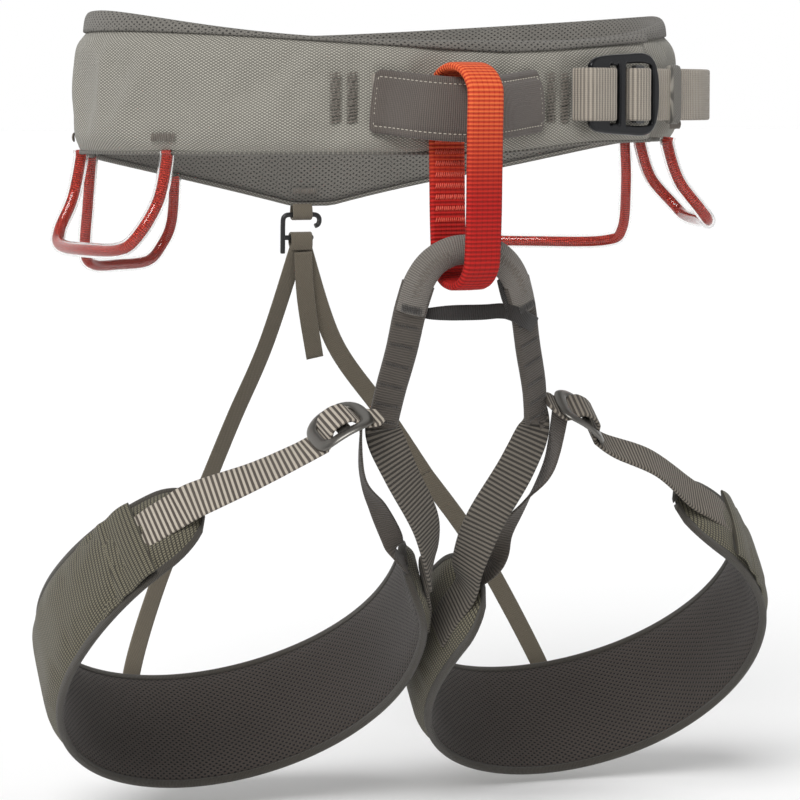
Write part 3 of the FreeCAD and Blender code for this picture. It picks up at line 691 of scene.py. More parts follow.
# ---------------- cloth work
PUFF_FRAMES = 18
PUFF_SETTINGS = {
    "quality": 6, "mass": 0.25, "tension_stiffness": 12, "compression_stiffness": 12,
    "shear_stiffness": 6, "bending_stiffness": 0.4, "shrink_min": -0.03, "use_pressure": True,
}


def puff(obj, pinned, pressure, cap):
    """Inflate a padded piece with Cloth, holding the pinned vertices."""
    rest = [v.co.copy() for v in obj.data.vertices]
    group = obj.vertex_groups.new(name="pin")
    group.add(pinned, 1.0, "REPLACE")
    cloth = obj.modifiers.new("cloth", "CLOTH")
    obj.modifiers.move(len(obj.modifiers) - 1, 0)
    for key, value in PUFF_SETTINGS.items():
        setattr(cloth.settings, key, value)
    cloth.settings.uniform_pressure_force = pressure
    cloth.settings.vertex_group_mass = "pin"
    cloth.settings.effector_weights.gravity = 0.0
    cloth.collision_settings.use_collision = False
    cloth.point_cache.frame_end = PUFF_FRAMES
    scene = bpy.context.scene
    for number in range(1, PUFF_FRAMES + 1):
        scene.frame_set(number)
    depsgraph = bpy.context.evaluated_depsgraph_get()
    smoothers = [m for m in obj.modifiers if m.type == "SUBSURF"]
    for modifier in smoothers:
        modifier.show_viewport = False
    depsgraph.update()
    moved = obj.evaluated_get(depsgraph).to_mesh()
    final = [v.co.copy() for v in moved.vertices]
    obj.modifiers.remove(cloth)
    for modifier in smoothers:
        modifier.show_viewport = True
    scene.frame_set(1)
    for vertex, start, end in zip(obj.data.vertices, rest, final):
        step = end - start
        if step.length > cap * MM:
            step = step.normalized() * cap * MM
        vertex.co = start + step
    obj.vertex_groups.remove(group)


def band_edges(stations, rows, flipped=False):
    """Indices of a band's vertices at its ends, its long edges and its back."""
    size = rows + 4
    near = []
    for k in range(stations + 1):
        for j in range(size):
            row = size - 1 - j if flipped else j
            if row < 2 or row > rows - 2 or k < 2 or k > stations - 2:
                near.append(k * size + j)
    return near


def dimple(point, reach):
    """How hard the nearest tack pulls the belt's cloth in at a point, 0 to 1."""
    return max(math.exp(-((point - tack).length / reach) ** 2) for tack in TACKS)


# ---------------- waist belt
BELT_STATIONS = 236
HEM = 2.6                      # the cloth hangs this far below the CAD edge


def belt_band(name, material, section, level=1):
    """Padded band round the waist; section(phi, turn) gives (off, z) corners."""
    rings = []
    for k in range(BELT_STATIONS + 1):
        turn = BELT_TURN * k / BELT_STATIONS
        phi = FLAP_END - turn
        shift = tuck(turn)
        rings.append([on_belt(phi, z, off + shift) for off, z in section(phi, turn)])
    return grid(name, rings, material, level=level)


TIE_IN_TACKS = (-25.3, -22.4, 14.0, 16.9)       # belt angles of the four bar tacks


def tack_places():
    """Where bar tacks and the resting belay loop press the belt's cloth in."""
    places = [on_belt(phi, z) for phi in TIE_IN_TACKS for z in (-7.0, 0.0, 7.0)]
    places += [on_belt(-6.5, z) for z in (-20.0, -11.0, -2.0, 7.0, 16.0)]
    for _, start, end, _, _ in GEAR_LOOPS:
        for phi in (start, end):
            z = belt_bottom(phi) + GEAR_TACK_RISE
            places += [on_belt(phi - 2.0, z), on_belt(phi + 2.0, z)]
    return places


TACKS = tack_places()


def crown(f, power):
    """Fullness of padding across its height: 0 at both edges, 1 in the middle."""
    return (1 - abs(2 * f - 1) ** power) ** 0.5


def belt_shell():
    """Outer shell: puffed between its edges and drawn in at the tacks."""
    rows = 15

    def section(phi, turn):
        low = belt_bottom(phi) - HEM
        top = shell_top(phi)
        end = min(turn, BELT_TURN - turn)
        fade = smooth(end / 4.0)
        points = []
        for j in range(rows + 1):
            f = j / rows
            z = low + (top - low) * f
            full = crown(f, 4)
            off = (4.7 * full - 3.6) * fade - 3.0 * (1 - fade)
            off += 0.5 * math.sin(phi * 0.21 + 2.0 * f) * full * math.sin(phi * 0.047)
            off -= 1.6 * dimple(on_belt(phi, z), 11.0)
            points.append((off, z))
        return points + [(-SHELL_T + 0.1, z) for z in (top - 1.0, (top + low) / 2, low + 1.0)]
    shell = belt_band("belt_shell_cloth", M["shell"], section)
    pinned = band_edges(BELT_STATIONS, rows)
    pinned += [v.index for v in shell.data.vertices if dimple(v.co / MM, 9.0) > 0.45]
    puff(shell, pinned, 2.2, 2.2)
    assign(shell, "waist_belt", "belt_shell")


def belt_liner():
    """Mesh liner: softly crowned towards the body."""
    outer = -SHELL_T - GAP
    rows = 11

    def section(phi, turn):
        low = belt_bottom(phi) - HEM + 0.5
        top = liner_top(phi)
        points = [(outer, top - 0.6), (outer, low + 0.4)]
        for j in range(rows + 1):
            f = j / rows
            points.append((outer - 0.8 - (LINER_T - 0.4) * crown(f, 3), low + (top - low) * f))
        return points[::-1]
    liner = belt_band("belt_liner_mesh", M["liner"], section)
    assign(liner, "waist_belt", "belt_liner")


def fold_over(mid, reach, edge, rise, power, steps, skirt):
    """Section of cloth folded over an edge, with a skirt below it on each side."""
    points = []
    for j in range(steps + 1):
        a = math.pi * j / steps
        points.append((mid + reach * math.cos(a), edge + rise * math.sin(a) ** power))
    return points + [(mid - reach, edge + skirt), (mid + reach, edge + skirt)]


def belt_edge_roll():
    """Liner mesh rolled over the top edge down to the shell's seam."""
    def section(phi, turn):
        low = shell_top(phi) - 0.8
        return fold_over(-3.7, 3.0, low, liner_top(phi) - low, 0.6, 10, -1.0)
    roll = belt_band("belt_edge_roll_mesh", M["liner"], section)
    assign(roll, "waist_belt", "belt_edge_roll")


def belt_binding():
    """Thin seam tape closing the bottom edge between shell and liner."""
    def section(phi, turn):
        return fold_over(-4.6, 1.7, belt_bottom(phi) - HEM + 0.4, -0.8, 1, 8, 1.2)
    tape = belt_band("belt_bottom_fold", M["fold"], section, level=0)
    assign(tape, "waist_belt", "belt_binding")


# ---------------- tie-in
def tie_in_stations():
    """Path of the tie-in sleeve: it lifts off the belt and comes back."""
    mid = TIE_IN_MID
    return [belt_station(-18.9, -1, 2.5), belt_station(-15.7, -2, 6.5),
            (mid + Vector((-16, 5, 1)), Vector((-0.25, -1, 0))),
            (mid, Vector((0, -1, 0))),
            (mid + Vector((18, 3.5, 1)), Vector((0.1, -1, 0))),
            belt_station(7.4, -2, 6.9), belt_station(10.9, -1, 2.5)]


def belt_station(phi, z, lift):
    """Strap station facing outwards, lifted off the belt."""
    return on_belt(phi, z, lift), belt_out(phi)


def dive(phi, way):
    """Two stations that take webbing straight into the belt under a sleeve."""
    out = belt_out(phi)
    aside = UP.cross(out) * way
    return [(on_belt(phi, -1, 1.2), unit(aside + out)), (on_belt(phi, -1, -2.0), aside)]


def front_of(thick):
    """The same direction, turned to the side that faces forward."""
    return -thick if thick.y > 0 else thick


def sleeve_seams(name, run, reach, height, body):
    """Stitched border on the front of a sleeve, inset from its edges."""
    dashes = []
    for edge in (-1, 1):
        points = []
        outs = []
        for mid, wide, thick in run:
            out = front_of(thick)
            points.append(mid + wide * (edge * reach) + out * height)
            outs.append(out)
        dashes += stitch_run(points, outs)
    for mid, wide, thick in (run[0], run[-1]):
        out = front_of(thick)
        points = [mid + wide * (reach * f) + out * (height + 1.5 * (1 - f * f))
                  for f in (-1, -0.5, 0, 0.5, 1)]
        dashes += stitch_run(points, [out] * 5)
    sew(name, dashes, 0.3, "thread", body)


def tie_in():
    """Webbing, padded sleeve with its stitched border, and bar tacks."""
    path = tie_in_stations()
    inside = dive(-18.4, -1)[::-1] + path[1:-1] + dive(10.4, 1)
    core = strap("tie_in_core", inside, 25.0, 2.4, M["tacked"], 90)
    assign(core, "waist_belt", "tie_in_webbing")
    run = frames(path, 70)

    def closed_end(f):
        return 0.90 + 0.10 * smooth(min(f, 1 - f) * 16)
    sleeve = sweep("tie_in_cover", run, soft_profile(30.0, 4.6, 1.4, 26, 0.9), M["sleeve"],
                   level=1, taper=closed_end)
    assign(sleeve, "waist_belt", "tie_in_sleeve")
    sleeve_seams("tie_in_cover_stitches", run[4:-4], 15.0 - SEAM_INSET, 1.9, "waist_belt")
    dashes = []
    for phi in TIE_IN_TACKS:
        out = belt_out(phi)
        mid = on_belt(phi, 0, 0.5)
        dashes += bar_tack(mid, UP, UP.cross(out), out, 22, 5.6, 15)
    sew("tie_in_bar_tacks", dashes, 0.46, "tack_thread", "waist_belt", node="tie_in_tacks")


# ---------------- waist buckle
def buckle_axes():
    """Middle of the waist buckle, its direction along the belt and outwards."""
    out = belt_out(BUCKLE_PHI)
    return on_belt(BUCKLE_PHI, BUCKLE_Z, 0), UP.cross(out), out


def in_buckle(p, q):
    """Point p along the belt and q outwards from the buckle's middle."""
    origin, along, out = buckle_axes()
    return origin + along * p + out * q


def buckle_strap(name, path, body, node):
    """Waist webbing laced through (along, outwards) points."""
    run = bent_run(path, in_buckle, UP, 60)
    piece = sweep(name, run, soft_profile(WAIST_WEB_W, WAIST_WEB_T), M["taupe"])
    assign(piece, body, node)


def waist_straps():
    """The strap through the buckle and its tail, keeper included."""
    fixed = [(-24.1, 0.6), (-24.0, 5.0), (-23.2, 8.6), (-21, 10.6), (-17, 10.9),
             (-12, 10.9), (-6.6, 10.4), (-4.6, 8.4), (-4.7, 5.4), (-7.0, 3.4),
             (-12, 2.8), (-17, 2.4)]
    buckle_strap("waist_webbing_fixed", fixed, "waist_belt", "waist_strap_fixed")
    wrap = [(18.3, 5.0), (18.3, 8.6), (16.8, 10.5), (12.5, 10.9), (8.3, 10.5),
            (6.8, 8.6), (6.8, 5.4), (8.4, 3.0), (12.0, 1.9)]
    buckle_strap("waist_webbing_wrap", wrap, "waist_slider", "waist_strap")
    rows = ((30.0, 3.2), (36.0, 4.3), (40.0, 4.6), (44.5, 5.2), (50.2, 6.7), (54.0, 7.8),
            (58.0, 8.6), (63.0, 8.8), (68.0, 8.4))
    stations = [belt_station(phi, BUCKLE_Z, lift) for phi, lift in rows]
    tail = strap("waist_webbing_tail", stations, WAIST_WEB_W, WAIST_WEB_T, M["taupe"], 70)
    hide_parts("waist_strap_tail", "waist_strap_end")
    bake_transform(tail)
    stations = [belt_station(phi, BUCKLE_Z, 5.4) for phi in (43.6, 46.9)]
    loop = strap("hip_keeper_loop", stations, 28.6, 4.2, M["fold"], 6, 0.4)
    assign(loop, "waist_belt", "hip_keeper")


# ---------------- gear loops
def gear_path(start, end, drop, bulge):
    """Points of one gear loop, from inside the belt's edge and back."""
    first, last = [on_belt(phi, belt_bottom(phi) - 5.6, -3.8) for phi in (start, end)]
    along = unit(Vector((last.x - first.x, last.y - first.y, 0)))
    out = belt_out((start + end) / 2.0)
    level = (first.z + last.z) / 2.0 - drop

    def half(base, way):
        corner = base + along * (way * 3.0) + out * (bulge * 0.75)
        corner.z = level + drop * 0.17
        foot = base + along * (way * 13.0) + out * bulge
        foot.z = level
        bend = base + out * (bulge * 0.25) - UP * (drop * 0.45)
        return [base + UP * 5, base, bend, corner, foot]
    middle = (first + last) * 0.5 + out * (bulge * 1.15)
    middle.z = level - 1.0
    return half(first, 1) + [middle] + half(last, -1)[::-1]


def round_run(points, count):
    """Frames with little twist along a curve through points."""
    rows = spline([tuple(p) for p in points], count)
    mids = [Vector(r) for r in rows]
    run = []
    wide = None
    for k, mid in enumerate(mids):
        along = unit(mids[min(k + 1, count)] - mids[max(k - 1, 0)])
        if wide is None:
            wide = unit(along.cross(Vector((0.3, 0.9, 0.1))))
        wide = unit(wide - along * wide.dot(along))
        run.append((mid, wide, unit(wide.cross(along))))
    return run


def gear_loops():
    """Clear tubes over ribbed cord, and the tacks that hold them."""
    dashes = []
    for name, start, end, drop, bulge in GEAR_LOOPS:
        body = "gear_loop_" + name
        run = round_run(gear_path(start, end, drop, bulge), 110)
        walls = [sweep("wall", run, round_profile(TUBE_R, 20), M["tube"], level=1),
                 sweep("bore", run, round_profile(BORE_R, 16)[::-1], M["tube"], level=1)]
        outer = join(body + "_tube", walls)
        assign(outer, body, body + "_sheath")
        cord = sweep(body + "_rope", run, round_profile(CORD_R, 16), M["cord"])
        assign(cord, body, body + "_cord")
        for phi in (start, end):
            out = belt_out(phi)
            along = UP.cross(out)
            mid = on_belt(phi, belt_bottom(phi) + GEAR_TACK_RISE, 0.1)
            dashes += bar_tack(mid, along, UP, out, 12, 4.4, 13)
    sew("gear_loop_bar_tacks", dashes, 0.44, "tack_thread", "waist_belt", node="gear_loop_tacks")


# ---------------- belay loop
def belay_points():
    """Closed outline of the belay loop in its plane: over the top, down one strand, up the other."""
    half = BELAY_DEPTH / 2
    top = BELAY_TOP_Z - BELAY_T / 2 - half * 0.80
    low = BELAY_BOTTOM_Z + BELAY_T / 2 + half * 0.86
    turns = [math.pi * k / 8 for k in range(9)]
    strand = [(half * (1 - 0.1 * f), top + (low - top) * f) for f in (0.25, 0.5, 0.75)]
    points = [(half * math.cos(a), top + half * 0.80 * math.sin(a)) for a in turns]
    points += [(-y, z) for y, z in strand]
    points += [(-half * 0.86 * math.cos(a), low - half * 0.86 * math.sin(a)) for a in turns]
    return points + strand[::-1]


def belay_loop():
    """Two plies of ribbed webbing with rows of tacks on the rear strand."""
    turn = Matrix.Rotation(math.radians(BELAY_YAW), 3, "Z")
    base = Vector((TIE_IN_MID.x, TIE_IN_MID.y, 0))
    points = belay_points()
    rows = spline(points + points[:1], 150)[:-1]
    count = len(rows)
    run = []
    wide = turn @ Vector((1, 0, 0))
    for k, (y, z) in enumerate(rows):
        before = rows[k - 1]
        after = rows[(k + 1) % count]
        heading = turn @ unit(Vector((0, after[0] - before[0], after[1] - before[1])))
        mid = base + turn @ Vector((0, y, 0)) + UP * z
        run.append((mid, wide, unit(wide.cross(heading))))
    ring = sweep("belay_loop_ring", run, soft_profile(BELAY_W, BELAY_T, 0.15), M["belay"],
                 closed=True)
    assign(ring, "belay_loop", "belay_loop_webbing")
    dashes = []
    for k in range(9):
        z = -14.0 - 5.2 * k
        f = (z - 15.5) / (BELAY_BOTTOM_Z - 15.5)
        for face in (-1, 1):
            y = BELAY_DEPTH / 2 * (1 - 0.1 * f) + face * (BELAY_T / 2 + 0.15)
            mid = base + turn @ Vector((0, y, 0)) + UP * z
            dashes += bar_tack(mid, wide, UP, turn @ Vector((0, face, 0)), 15.0, 2.4, 15)
    sew("belay_loop_bar_tacks", dashes, 0.3, "red_thread", "belay_loop",
        node="belay_loop_tacks")


# ---------------- leg bridge
BRIDGE = ((0.0, -134.0, ARCH_TOP_Z), (9.0, -133.7, -70.0), (18.0, -132.0, -75.2),
          (24.5, -129.5, -84.5), (28.5, -125.0, -98.0), (32.0, -117.0, -116.0),
          (36.5, -108.5, -135.0), (JUNCTION[0], JUNCTION[1], JUNCTION[2] + 2))


def bridge_face(side, x):
    """Direction that the bridge's flat side looks; it turns outwards downwards."""
    return Vector((side * BRIDGE_TWIST * min(x / 28.0, 1.0), -1, -0.25))


def bridge_path(reach):
    """Bridge stations from the wearer's right, over the arch, to the left."""
    stations = []
    for x, y, z in reversed(BRIDGE[:reach]):
        stations.append((leg(RIGHT, x, y, z), bridge_face(RIGHT, x)))
    for x, y, z in BRIDGE[1:reach]:
        stations.append((leg(LEFT, x, y, z), bridge_face(LEFT, x)))
    return stations


def bridge_web(side, name):
    """One webbing leg with dark zigzag rows down its front."""
    stations = [(leg(side, x, y, z), bridge_face(side, x)) for x, y, z in BRIDGE[3:]]
    stations.append((stations[-1][0] - UP * 3, bridge_face(side, 40)))
    run = frames(stations, 60)
    web = sweep("bridge_webbing_" + name, run, soft_profile(15.5, 3.2, 0.2), M["dark"],
                taper=lambda f: 1.0 - 0.12 * f)
    assign(web, "leg_bridge", "bridge_web_" + name)
    dashes = []
    for k in range(16, 52, 6):
        dashes += run_tack(run[k], 1.9, 10, 1.8, 11)
    sew("bridge_stitches_" + name, dashes, 0.25, "dark_thread", "leg_bridge")


def run_tack(station, height, length, width, count):
    """Bar tack across the front of a strap at one of its frames."""
    mid, wide, thick = station
    out = front_of(thick)
    return bar_tack(mid + out * height, wide, unit(wide.cross(thick)), out, length, width, count)


def zigzag(run, reach, height):
    """Threads swinging from side to side down the front of a run."""
    dashes = []
    for k in range(len(run) - 1):
        sway = reach if k % 2 else -reach
        mid, wide, thick = run[k]
        after, next_wide, next_thick = run[k + 1]
        a = mid + wide * sway + front_of(thick) * height
        b = after - next_wide * sway + front_of(next_thick) * height
        dashes.append((a, b, front_of(thick)))
    return dashes


def bridge():
    """Sleeved arch, webbing legs, keeper and stitching."""
    run = frames(bridge_path(5), 90)
    sleeve = sweep("arch_cover", run, soft_profile(14.8, 6.0, 0.9, 10), M["arch"], level=1)
    assign(sleeve, "leg_bridge", "bridge_sleeve")
    core = strap("arch_core", bridge_path(5), 12.0, 3.8, M["dark"], 60)
    assign(core, "leg_bridge", "bridge_arch_core")
    dashes = run_tack(run[3], 3.9, 9, 4.0, 13) + run_tack(run[87], 3.9, 9, 4.0, 13)
    seams = zigzag(run[7:34], 2.3, 3.65) + zigzag(run[56:84], 2.3, 3.65)
    sew("arch_seam", seams, 0.28, "tack_thread", "leg_bridge")
    sew("arch_bar_tacks", dashes, 0.32, "dark_thread", "leg_bridge", node="bridge_tacks")
    for side, name in SIDES:
        bridge_web(side, name)
    stations = []
    for side, x, dy, dz in ((RIGHT, 24.0, 2.0, 0.5), (RIGHT, 19.0, -0.5, 0), (RIGHT, 8.0, -0.5, 0),
                            (LEFT, 8.0, -1.0, 0), (LEFT, 17.0, -3.0, 0.5), (LEFT, 23.0, -6.0, -0.5),
                            (LEFT, 30.0, -4.6, -4.0), (LEFT, 34.5, 0.5, -6.5)):
        face = Vector((0.25 * side, -1, -0.2))
        stations.append((leg(side, x, -123.5 + dy, -98.5 + dz), face))
    keeper = strap("bridge_keeper_tape", stations, 7.5, 1.3, M["black_tape"], 60,
                   taper=lambda f: 0.55 + 0.45 * smooth(f * 3))
    stations = [(leg(LEFT, x, y, z), Vector((0.4, -1, 0)))
                for x, y, z in ((24.0, -126.5, -99.0), (19.5, -129.0, -92.0), (16.0, -131.0, -83.0))]
    flap = strap("bridge_keeper_flap", stations, 8.0, 1.1, M["black_tape"], 16,
                 taper=lambda f: 1.0 - 0.6 * f)
    keeper = join("bridge_keeper_tape", [keeper, flap])
    assign(keeper, "leg_bridge", "bridge_keeper")


# ---------------- leg loops
PAD_STATIONS = 150


def pad_band(side, name, material, section, level=1):
    """Padded band round a thigh; section(half, fade) gives (off, h) corners."""
    rings = []
    for k in range(PAD_STATIONS + 1):
        f = k / PAD_STATIONS
        angle = PAD_FROM + (PAD_TO - PAD_FROM) * f
        lift = pad_lift(angle)
        end = min(f, 1 - f) * PAD_STATIONS
        tongue = 0.15 + 0.85 * math.sqrt(1 - (1 - min(end / 8.0, 1.0)) ** 2)
        corners = section(pad_half(angle) * tongue, smooth(end / 4.0))
        ring = [on_ring(side, angle, h + lift, off) for off, h in corners]
        rings.append(ring if side == RIGHT else ring[::-1])
    return grid(name, rings, material, level=level)


def leg_pad(side, name):
    """Shell, liner and edge tape of one leg pad."""
    body = "leg_loop_" + name
    rows = 13

    def shell(half, fade):
        points = []
        for j in range(rows + 1):
            f = j / rows
            points.append((-2.6 + 3.2 * crown(f, 4) * fade, (2 * f - 1) * half))
        return points + [(-PAD_SHELL_T, h) for h in (half - 1, 0, 1 - half)]
    cover = pad_band(side, body + "_shell_cloth", M["pad"], shell)
    puff(cover, band_edges(PAD_STATIONS, rows, side == LEFT), 1.8, 2.0)
    assign(cover, body, "leg_%s_pad_shell" % name)

    def liner(half, fade):
        outer = -PAD_SHELL_T - GAP
        points = [(outer, half - 0.6), (outer, -half + 0.6)]
        for j in range(rows + 1):
            f = j / rows
            depth = 0.6 + (PAD_LINER_T - 0.4) * crown(f, 3) * fade
            points.append((outer - depth, (2 * f - 1) * half))
        return points[::-1]
    mesh = pad_band(side, body + "_liner_mesh", M["pad_mesh"], liner)
    assign(mesh, body, "leg_%s_pad_liner" % name)

    def low_tape(half, fade):
        return [(off, -h) for off, h in reversed(top_tape(half, fade))]

    def top_tape(half, fade):
        return fold_over(-3.3, 1.8, half - 0.8, 2.4, 0.7, 8, -1.0)
    tapes = [pad_band(side, "tape", M["pad_edge"], section, level=0)
             for section in (low_tape, top_tape)]
    binding = join(body + "_edge_tape", tapes)
    assign(binding, body, "leg_%s_binding" % name)


def ring_station(side, angle, h, off):
    """Strap station lying on the pad's outer face."""
    return (on_ring(side, angle, h + pad_lift(angle), off), ring_out(side, angle))


def adjuster_axes(side):
    """Middle of a leg buckle and its directions: along the strap, up, outwards."""
    mid = leg(side, 61, -104.5, -151.5)
    look = {LEFT: (0.575, -0.455, 0.68), RIGHT: (-0.50, -0.31, 0.81)}
    face = unit(Vector(look[side]))
    up = unit(face.cross(leg(side, 79.5, -101.5, -161.5) - mid))
    return mid, unit(up.cross(face)), up, face


# Painted shade: the left loop's webbing uses a darker copy of the striped webbing.
LEG_WEBBING = {RIGHT: "striped", LEFT: "shaded"}
# Places, and the way that each strap's face looks there; x counts away from the other leg.
INNER_ROUTE = (
    ((JUNCTION[0] - 0.5, JUNCTION[1] + 1.0, JUNCTION[2] - 3), (0.2, -1, 0.1)),
    ((29, -97, -176), (-0.05, -1, 0.2)),
    ((15, -89, -201), (-0.35, -0.9, 0.1)),
    ((9.5, -77, -223), (-0.75, -0.6, 0.1)),
)
THIN_ROUTE = (
    ((48, -92, -175), (0.9, -0.1, 0.3)),
    ((38, -83, -193), (0.7, -0.6, 0.15)),
    ((29, -75, -209), (0.2, -0.9, 0)),
)


def leg_route(side, route):
    """Strap stations of a route, mirrored for the side."""
    return [(leg(side, *place), Vector((x * side, y, z))) for place, (x, y, z) in route]


def leg_straps(side, name):
    """Outer, inner and thin second strap of one leg loop."""
    body = "leg_loop_" + name
    rise = LEG_WEB_T
    mid, along, _, face = adjuster_axes(side)
    outer = [ring_station(side, angle, 2, off)
             for angle, off in ((226, 0.6), (236, rise), (243, rise + 1.0), (250, rise + 3.0))]
    turn = {LEFT: (0.44, -0.60, 0.66), RIGHT: (-0.43, -0.45, 0.78)}
    low = {LEFT: -175.8, RIGHT: -174.0}
    outer += [(leg(side, 103, -94.5, low[side]), Vector(turn[side])),
              (mid + along * 24 - face * 1.7, face), (mid + along * 11.0 - face * 2.2, face)]
    piece = strap(body + "_outer_webbing", outer, LEG_WEB_W, LEG_WEB_T, M[LEG_WEBBING[side]], 90)
    assign(piece, body, "leg_%s_outer_strap" % name)
    inner = [(leg(side, JUNCTION[0], JUNCTION[1] - 0.6, JUNCTION[2] + 7), bridge_face(side, 40))]
    inner += leg_route(side, INNER_ROUTE)
    inner += [(on_ring(side, angle, h, off), ring_out(side, angle))
              for angle, h, off in ((-33, -3, rise + 1.2), (-24, -6, rise + 0.2), (-14, -9, rise))]
    piece = strap(body + "_inner_webbing", inner, 18.5, 1.8, M["inner"], 90,
                  taper=lambda f: 0.74 + 0.26 * smooth(f * 5))
    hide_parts("leg_%s_inner_strap" % name)
    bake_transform(piece)
    tail = [(mid - along * 10 - face * 3.5, Vector((0.95 * side, 0.3, 0.3)))]
    tail += leg_route(side, THIN_ROUTE)
    tail += [(on_ring(side, -44, 4, -3), ring_out(side, -44)),
             (on_ring(side, -37, 2, -3), ring_out(side, -37))]
    piece = strap(body + "_thin_webbing", tail, 10.5, 1.2, M["dark"], 60)
    assign(piece, body, "leg_%s_tail_strap" % name)


def leg_buckle(side, name):
    """Saddle-shaped two-slot adjuster with webbing laced through it."""
    body = "leg_loop_" + name
    mid, along, up, face = adjuster_axes(side)

    def ring_round(u, v, out_u, out_v, r):
        """Section of the saddle-shaped frame at (u, v), r wide each way."""
        ring = []
        for k in range(10):
            a = 2 * math.pi * k / 10
            at_u = u + out_u * r * math.cos(a)
            at_v = v + out_v * r * math.cos(a)
            lift = 3.4 * (1 - (at_u / 14.5) ** 2) - 0.3 + 1.3 * math.sin(a)
            ring.append(mid + along * at_u + up * at_v + face * lift)
        return ring
    rings = []
    for k in range(48):
        a = 2 * math.pi * k / 48
        c, d = [math.copysign(abs(f) ** 0.55, f) for f in (math.cos(a), math.sin(a))]
        size = math.hypot(c, d)
        rings.append(ring_round(12.6 * c, 11.4 * d, c / size, d / size, 3.2))
    loops = [grid("frame", rings, M["gun_metal"], closed=True, level=1)]
    rings = [ring_round(0, -11.5 + 23 * k / 8, 1, 0, 3.6) for k in range(9)]
    loops.append(grid("bar", rings, M["gun_metal"], level=1))
    buckle = join(body + "_adjuster", loops)
    assign(buckle, body, "leg_%s_buckle" % name)
    path = [(-19.5, -3.6), (-17, -3.2), (-14, -2.6), (-10.5, -1.8), (-8.2, 0.6), (-7.0, 3.0),
            (-5.0, 5.4), (-1.5, 6.4), (1.5, 6.4), (5.0, 5.4), (7.0, 3.0), (8.2, 0.6),
            (10.0, -1.6), (13, -2.4)]
    run = []
    for point, wide, thick in bent_run(path, lambda u, w: mid + along * u + face * w, up, 60):
        tucked = up * (2.6 * smooth(((mid - point).dot(along) - 10.0) / 8.0))
        run.append((point + tucked, wide, thick))
    piece = sweep(body + "_adjuster_webbing", run, soft_profile(17.8, 1.8), M[LEG_WEBBING[side]],
                  taper=lambda f: 0.62 + 0.38 * smooth(f * 7))
    assign(piece, body, "leg_%s_buckle_strap" % name)


def leg_patches(side, name):
    """Cloth patch over the outer strap's end and the riser's pocket."""
    body = "leg_loop_" + name
    stations = []
    for angle, off in ((206, -2.4), (210, -1.5), (213, -0.6), (216, -1.1), (219, 0.3),
                       (222, -0.1), (226, 1.5), (229, 2.0), (231.5, 1.5)):
        stations.append(ring_station(side, angle, 0, off))
    patch = strap(body + "_strap_cover", stations, 45.0, 1.2, M["pad"], 60, 1.7,
                  taper=lambda f: 1.0 - 0.12 * f)
    assign(patch, body, "leg_%s_strap_patch" % name)
    middle = ring_out(side, RISER_RING_ANGLE)
    stations = [(on_ring(side, RISER_RING_ANGLE, h, 3.4), middle) for h in (21, 12, 1)]
    pocket = strap(body + "_riser_anchor", stations, 15.0, 5.6, M["dark"], 16, 0.3)
    assign(pocket, body, "leg_%s_riser_pocket" % name)


# ---------------- rear risers


def rear_hook():
    """Webbing tab, open hook and elastic loop at the belt's point."""
    wide = Vector((1, 0, 0))
    tab = [(-1.4, 5.6), (-2.0, 3.4), (-2.5, 0.6), (-1.9, -1.5), (0, -2.3), (1.9, -1.5),
           (2.5, 0.6), (2.0, 3.4), (1.4, 5.6)]
    run = bent_run(tab, lambda p, q: Vector((-5.5, HOOK_Y + p, HOOK_Z + q)), wide)
    piece = sweep("rear_tab_webbing", run, soft_profile(11, 1.2), M["elastic"])
    assign(piece, "waist_belt", "rear_tab")
    out = belt_out(182)
    mid = on_belt(182, BELT_POINT_Z + 5.0, -SHELL_T - GAP - LINER_T - 0.6)
    dashes = bar_tack(mid, UP.cross(out), UP, -out, 12.5, 3.3, 16)
    sew("rear_tab_bar_tack", dashes, 0.36, "tack_thread", "waist_belt")
    yoke = [(-1.6, -6.5), (-2.3, -3.0), (-2.2, 0.4), (-1.3, 2.0), (0, 2.5), (1.3, 2.0),
            (2.2, 0.4), (2.2, -2.6), (0.9, -5.0)]
    run = bent_run(yoke, lambda p, q: Vector((-6, HOOK_Y + p, HOOK_Z - 12 + q)), wide)
    piece = sweep("riser_top_loop", run, soft_profile(12, 1.0), M["elastic"])
    assign(piece, "waist_belt", "riser_yoke")
    bend = [(-16.0, -20.5), (-15.9, -12), (-15.7, -3), (-14.6, -0.7), (-12, 0), (-5, 0),
            (1.2, 0), (3.8, -0.9), (4.6, -3.0), (3.9, -5.2), (2.0, -6.1)]
    lower = [(-15.8, -12), (-8, -12), (1.2, -12)]
    bars = []
    for line, count in ((bend, 60), (lower, 12)):
        points = [Vector((x, HOOK_Y, HOOK_Z + z)) for x, z in line]
        bars.append(sweep("bar", round_run(points, count), round_profile(1.35, 12),
                          M["black_plastic"], level=1))
    hook = join("riser_hook_wire", bars)
    assign(hook, "waist_belt", "riser_hook")
    label = [(Vector((-5.5, HOOK_Y - 2.4, HOOK_Z - 19.5)), Vector((0, -1, 0))),
             (Vector((-4, HOOK_Y - 2.6, -105)), Vector((0, -1, 0))),
             (Vector((1.0, HOOK_Y - 2.6, -136)), Vector((0.1, -1, 0)))]
    piece = strap("riser_label_tape", label, 10.0, 0.8, M["elastic"], 20)
    assign(piece, "waist_belt", "riser_label")


